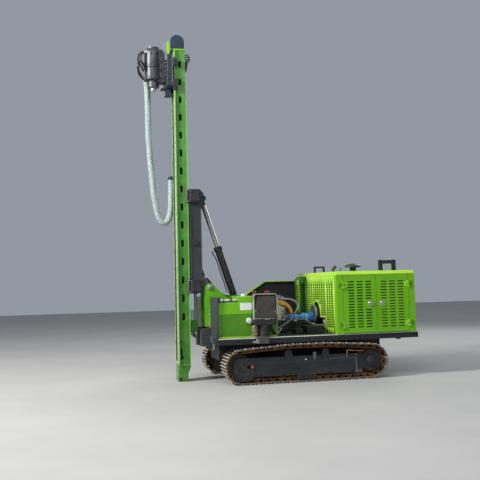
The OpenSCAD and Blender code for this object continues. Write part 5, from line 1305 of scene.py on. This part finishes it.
# painted sunlight: the front face is lighter where the key light falls on it, with wear spots
front_face = Piece("mast_front_sunlit_strips")
for y_sign in (-1, 1):
    front_face.block(1.9195, 1.9222, y_sign * 0.022, y_sign * 0.179, 0.28, 5.47)
front_face.done(
    coating("sunlit_rubbed_lime", (0.33, 0.55, 0.16), (0.2, 0.42, 0.08), 0.28, patch=4, grain=240, relief=0.05, dust=0.05,
        worn=(0.5, 0.52, 0.48), wear=0.5, stretch=(1, 1, 0.3)), "mast", bevel=0.0005, segments=1)
slot_rims = Piece("mast_slot_rims")
rim_corners = 24
slot_pitch = 0.3
for k in range(15):
    z = 1.042 + slot_pitch * k
    outline = []
    for index, (u, v) in enumerate(around(rim_corners, 0.0245)):
        outline.append((1.83 + u, z + (0.035 if v > 0 or index == 0 else -0.035) + v))
    for y_sign in (-1, 1):
        slot_rims.prism(*([(x, y_sign * y, z) for x, z in outline] for y in (0.1385, 0.1495)), shut=False)
slot_rims.done(lit_rail_lime, "mast", bevel=0, smooth=50)
mast_base = Piece("mast_foot_trim")
for y_sign in (-1, 1):
    mast_base.block(1.73, 1.918, y_sign * 0.1502, y_sign * 0.157, 0.262, 0.272)
mast_base.block(1.79, 1.9195, -0.142, 0.142, 0.001, 0.01)
mast_base.done(lit_rail_lime, "mast", bevel=0.0015)
notch = Piece("mast_foot_socket")
for y_sign in (-1, 1):
    notch.block(1.866, 1.9205, y_sign * 0.149, y_sign * 0.1512, 0.018, 0.072)
notch.done(satin_black, "mast")
edge_holes = Piece("mast_edge_holes")
for k in range(16):
    z = 0.62 + slot_pitch * k
    for y_sign in (-1, 1):
        edge_holes.block(1.9218, 1.9232, y_sign * 0.15, y_sign * 0.166, z - 0.028, z + 0.028)
edge_holes.done(
    coating("hole_shadow_green", (0.02, 0.075, 0.012), (0.012, 0.05, 0.01), 0.7, patch=8, dust=0.1), "mast", bevel=0.0004, segments=1)

# The feed chain: roller chain in a shallow guide down the mast's front face, oiled and dull, over a wheel
# between the two round-topped slate plates of the crown. A lime hood covers it ahead of the crown.
chain_steel = coating(
    "feed_chain_steel", (0.115, 0.125, 0.135), (0.05, 0.055, 0.06), 0.38, metal=0.75, patch=50, grain=220, relief=0.3,
    dust=0.15, dust_tone=(0.16, 0.15, 0.13))
feed = Piece("feed_roller_chain")
pitch = 0.0508
for k in range(int((5.375 - 0.335) / pitch)):
    z = 0.335 + (k + 0.5) * pitch
    offset = 0.0165 if k % 2 else 0.0115
    for y_sign in (-1, 1):
        feed.block(1.9262, 1.9395, y_sign * (offset - 0.0025), y_sign * (offset + 0.0005), z - 0.031, z + 0.031)
    feed.turned((1.933, -0.0115, z - pitch / 2), (1.933, 0.0115, z - pitch / 2), [(0, 0.006), (1, 0.006)], 8)
feed.block(1.9205, 1.9245, -0.0178, 0.0178, 0.332, 5.378)
feed.done(chain_steel, "mast", bevel=0, stands_for=("feed_chain",), smooth=60)
crown_slate = coating(
    "crown_slate", (0.018, 0.036, 0.066), (0.012, 0.026, 0.05), 0.45, patch=4, grain=150, relief=0.08, dust=0.1)
crown = Piece("crown_plates")
crown_x, crown_z = 1.865, 5.632
for y_sign in (-1, 1):
    outline = [(crown_x - 0.1175, 5.511), (crown_x + 0.1175, 5.511)]
    outline += [
        (crown_x + 0.1175 * math.cos(math.pi * k / 32), crown_z + 0.1175 * math.sin(math.pi * k / 32))
        for k in range(33)]
    crown.profile(outline, y_sign * 0.1385, y_sign * 0.1498)
crown.done(crown_slate, "mast", bevel=0.0015, stands_for=("mast_crown",), smooth=30)
wheel = Piece("crown_chain_wheel")
wheel.turned(
    (crown_x, -0.023, crown_z), (crown_x, 0.023, crown_z),
    [(0, 0.05), (0.01, 0.085), (0.25, 0.094), (0.75, 0.094), (0.99, 0.085), (1, 0.05)], 40)
wheel.rod((crown_x, -0.139, crown_z), (crown_x, 0.139, crown_z), 0.025, 24)
wheel.done(chain_steel, "mast")
crown_cover = Piece("crown_chain_cover")
for y_sign in (-1, 1):
    crown_cover.block(1.9286, 2.0145, y_sign * 0.0568, y_sign * 0.0598, 5.39, 5.658)
crown_cover.block(2.0115, 2.0145, -0.0598, 0.0598, 5.39, 5.658)
crown_cover.block(1.9286, 2.0145, -0.0598, 0.0598, 5.655, 5.6585)
crown_cover.block(1.935, 2.012, -0.056, 0.056, 5.6, 5.604)
crown_cover.done(
    coating("cover_lime", (0.3, 0.58, 0.05), (0.2, 0.46, 0.04), 0.35, patch=6, dust=0.05, coat=0.3), "mast", bevel=0.0015)
cover_hooks = Piece("crown_cover_hook")
cover_hooks.profile(
    [(2.008, 5.398), (1.975, 5.398), (1.958, 5.44), (1.934, 5.455), (1.934, 5.478), (1.96, 5.498), (1.978, 5.488),
     (1.985, 5.455), (2.008, 5.425)], 0.0602, 0.0695)
cover_hooks.ring((1.955, 0.0602, 5.5), (1.955, 0.0695, 5.5), 0.021, 0.011, 20)
cover_hooks.block(1.942, 1.956, 0.0602, 0.068, 5.398, 5.44)
cover_hooks.done(satin_black, "mast")
hose(
    "crown_wire",
    [(2.012, 0.02, 5.628), (2.045, 0.02, 5.632), (2.066, 0.02, 5.6), (2.072, 0.02, 5.565), (2.06, 0.02, 5.535)],
    0.004, coating("pale_wire", (0.42, 0.46, 0.4), (0.3, 0.33, 0.3), 0.5, patch=20), "mast")
mast_rim = Piece("mast_top_flange")
for y_sign in (-1, 1):
    mast_rim.block(1.7325, 1.9275, y_sign * 0.1575, y_sign * 0.1605, 5.481, 5.509)
mast_rim.done(lime, "mast")

# Hoses of the lift and feed drives: three loops of black rubber hose that leave the mast's back just under
# its top, run down and turn in again, held by black clips.
for k, (reach, drop, y) in enumerate(((0.072, 0.0, 0.05), (0.058, 0.03, 0.08), (0.045, -0.03, 0.02))):
    hose(
        "mast_back_hose_%d" % k, [(1.742, y, 5.365 + drop), (1.715 - reach * 0.3, y, 5.402 + drop),
            (1.72 - reach, y, 5.375 + drop), (1.722 - reach, y, 5.33 + drop), (1.712, y, 5.285 + drop),
            (1.69, y, 5.235 + drop), (1.712, y, 5.185 + drop), (1.74, y, 5.175 + drop)], 0.009, rubber, "mast")
back_clip = Piece("mast_back_clips")
for z in (5.18, 5.29, 5.38):
    back_clip.block(1.7215, 1.7405, 0.0, 0.1, z - 0.012, z + 0.012)
back_clip.done(satin_black, "mast", bevel=0.002)

# The arm that holds the hose bundle's end: a flat bar in black enamel, welded to the mast's far side, with a
# clamp collar that three bolts close.
painted("hose_bracket", satin_black, 0.003)
collar = Piece("bundle_collar_bolts")
for u, v in around(3, 0.0595):
    collar.bolt((1.935 + u, -0.3 + v, 3.372), (u, v, 0), 0.007, 0.006, washer=False)
collar.done(bare_steel, "mast", bevel=0.0006, segments=1)

# The carriage: a slate plate with a folded flange down each side that slides on the front rails, black
# clamps round the rails, two feet below and the block that the drive head is bolted to.
painted(
    "carriage", coating("carriage_slate", (0.013, 0.022, 0.034), (0.008, 0.014, 0.023), 0.38, patch=4, grain=150,
        relief=0.08, dust=0.06, worn=(0.09, 0.11, 0.13), wear=0.3), 0.003)
head_edges = Piece("carriage_edges")
for y_sign in (-1, 1):
    head_edges.block(2.0405, 2.0485, y_sign * 0.2118, y_sign * 0.214, 4.88, 5.372)
    head_edges.block(1.952, 1.964, y_sign * 0.2118, y_sign * 0.214, 4.88, 5.372)
head_edges.done(slate_edge, "head", bevel=0.0006, segments=1)
head_bolts = Piece("carriage_bolts")
for y_sign in (-1, 1):
    for z in (4.935, 5.025, 5.3, 5.345):
        head_bolts.bolt((1.958, y_sign * 0.2138, z), (0, y_sign, 0), 0.01, 0.008)
    for z in (5.06, 5.13, 5.2, 5.27):
        head_bolts.bolt((2.06, y_sign * 0.121, z), (0, y_sign, 0), 0.01, 0.009)
head_bolts.done(slate_edge, "head", bevel=0.0006, segments=1, slot="worn_steel")
jaws = Piece("carriage_jaw_plates")
for y_sign in (-1, 1):
    for z0, z1 in ((4.812, 4.98), (5.219, 5.322)):
        jaws.block(1.882, 1.944, y_sign * 0.2122, y_sign * 0.216, z0, z1)
        for z in (z0 + 0.02, z1 - 0.02):
            jaws.bolt((1.9, y_sign * 0.216, z), (0, y_sign, 0), 0.007, 0.005, washer=False)
jaws.done(satin_black, "head")

# The drive head: a stepped case of cast metal on a dark block, with clamp rings, dark ports under its cap, a
# ring of bolts on top, and the hoses that leave it for the bundle.
head_x = 2.255
head_light = coating(
    "cast_head_metal", (0.088, 0.1, 0.12), (0.04, 0.045, 0.056), 0.36, metal=0.45, patch=2.6, grain=110, relief=0.35,
    dust=0.06, dust_tone=(0.2, 0.19, 0.18), worn=(0.22, 0.24, 0.27), wear=0.3)
head_dark = coating(
    "head_dark_enamel", (0.013, 0.015, 0.022), (0.008, 0.009, 0.014), 0.38, patch=4, grain=120, relief=0.2, dust=0.05,
    worn=(0.2, 0.2, 0.21), wear=0.3)
head_case = Piece("head_case")
head_case.turned(
    (head_x, 0, 4.86), (head_x, 0, 5.551), [(0, 0.088), (0.006, 0.097), (0.115, 0.097), (0.118, 0.092), (0.15, 0.092),
        (0.153, 0.097), (0.172, 0.099), (0.175, 0.132), (0.195, 0.1465), (0.236, 0.1465), (0.24, 0.141),
        (0.47, 0.141), (0.473, 0.1355), (0.486, 0.1355), (0.49, 0.1455), (0.52, 0.1465), (0.86, 0.1465),
        (0.872, 0.1435), (0.952, 0.107), (0.956, 0.104), (0.995, 0.104), (1, 0.098)], 56)
head_case.done(head_light, "head", bevel=0.0015, segments=1, stands_for=("drive_head",), smooth=30)
head_back = Piece("head_back_block")
head_back.profile([(2.069, 4.942), (2.2, 4.942), (2.2, 5.449), (2.069, 5.449)], -0.109, 0.109)
for y_sign in (-1, 1):
    head_back.turned(
        (2.15, y_sign * 0.045, 4.985), (2.15, y_sign * 0.045, 5.5),
        [(0, 0.06), (0.03, 0.07), (0.93, 0.07), (1, 0.05)], 32)
    for z in (5.06, 5.2, 5.34):
        head_back.block(2.085, 2.155, y_sign * 0.1088, y_sign * 0.116, z - 0.045, z + 0.045)
head_back.done(head_dark, "head", bevel=0.004)
head_rings = Piece("head_clamp_rings")
head_rings.ring((head_x, 0, 4.99), (head_x, 0, 5.02), 0.147, 0.139, 48)
head_rings.ring((head_x, 0, 5.195), (head_x, 0, 5.206), 0.14, 0.13, 48)
for u, v in around(16, 0.121):
    head_rings.bolt((head_x + u, v, 4.984), (0, 0, -1), 0.008, 0.01, washer=False)
head_rings.done(head_dark, "head", bevel=0.0008, segments=1)
head_ports = Piece("head_cap_ports")
for degrees in (35, 75, 115, 150, 200, 250, 300):
    angle = math.radians(degrees)
    out = Vector((math.cos(angle), math.sin(angle), 0))
    centre = Vector((head_x, 0, 5.415)) + out * 0.1455
    head_ports.turned(centre, centre + out * 0.0018, [(0, 0.021), (1, 0.021)], 20)
head_ports.done(satin_black, "head", bevel=0)
cap_metal = coating(
    "cap_bare_metal", (0.6, 0.63, 0.66), (0.34, 0.35, 0.37), 0.32, metal=0.5, patch=14, grain=160, relief=0.3,
    dust=0.08)
head_cap = Piece("head_cap_bolts")
head_cap.turned((head_x, 0, 5.543), (head_x, 0, 5.56), [(0, 0.084), (0.7, 0.084), (1, 0.074)], 36)
for u, v in around(8, 0.088, 0.2):
    head_cap.bolt((head_x + u, v, 5.55), (0, 0, 1), 0.011, 0.013)
head_cap.done(cap_metal, "head", segments=1)
head_unions = Piece("head_hose_unions")
for y, z in ((0.052, 5.47), (0.088, 5.448)):
    start = Vector((head_x + 0.085, y, z))
    head_unions.turned(
        start, start + Vector((0.085, 0.012, -0.012)),
        [(0, 0.026), (0.35, 0.026), (0.36, 0.02), (0.75, 0.02), (0.76, 0.015), (1, 0.015)], 6)
head_unions.done(cap_metal, "head", segments=1)
hose(
    "head_hose_upper", [(head_x + 0.165, 0.064, 5.458), (head_x + 0.215, 0.075, 5.43), (head_x + 0.252, 0.09, 5.375),
        (head_x + 0.255, 0.09, 5.3), (head_x + 0.225, 0.08, 5.225), (head_x + 0.165, 0.06, 5.12)], 0.016, rubber,
    "head")
hose(
    "head_hose_lower", [(head_x + 0.165, 0.1, 5.436), (head_x + 0.205, 0.11, 5.405), (head_x + 0.222, 0.115, 5.345),
        (head_x + 0.212, 0.115, 5.285), (head_x + 0.168, 0.1, 5.2), (head_x + 0.148, 0.085, 5.14)], 0.016, rubber,
    "head")
for k, (dx, dy) in enumerate(((0.0, 0.0), (0.026, 0.014), (0.01, -0.026))):
    hose(
        "head_bundle_hose_%d" % k, [(head_x + 0.243 + dx * 0.2, -0.04 + dy, 5.262 - dx),
            (head_x + 0.236 + dx * 0.3, -0.07 + dy, 5.195), (head_x + 0.196 + dx, -0.12 + dy, 5.125),
            (head_x + 0.142 + dx, -0.18 + dy, 5.076), (head_x + 0.09 + dx, -0.25 + dy, 5.052),
            (head_x + 0.08, -0.3 + dy * 0.5, 5.02)], 0.019, rubber if k else pale_rubber, "head")
hose(
    "head_bundle_bend", [(head_x + 0.244, -0.04, 5.265), (head_x + 0.238, -0.018, 5.298),
        (head_x + 0.212, 0.022, 5.302), (head_x + 0.182, 0.042, 5.27), (head_x + 0.145, 0.05, 5.225)], 0.019, rubber,
    "head")
neck_gap = Piece("head_neck_seal")
neck_gap.ring((head_x, 0, 4.9), (head_x, 0, 4.906), 0.0985, 0.09, 40)
neck_gap.done(head_dark, "head", bevel=0.0008, segments=1)

# The spindle: the hardened end that drives the pile cap, turned bright from one bar, with a groove round it
# and a wide retaining collar where it leaves the head.
spindle_ring = Piece("spindle_turned")
spindle_ring.turned(
    (head_x, 0, 4.8027), (head_x, 0, 4.8595), [(0, 0.04), (0.06, 0.046), (0.1, 0.0498), (0.42, 0.0498), (0.46, 0.044),
        (0.56, 0.044), (0.6, 0.0498), (0.79, 0.0498), (0.8, 0.0595), (0.97, 0.0595), (1, 0.056)], 40)
spindle_ring.done(
    coating("turned_steel", (0.7, 0.7, 0.69), (0.5, 0.5, 0.5), 0.22, metal=0.85, patch=30, grain=260, relief=0.1,
        dust=0.04), "spindle", bevel=0.0008, segments=1, stands_for=("spindle",))
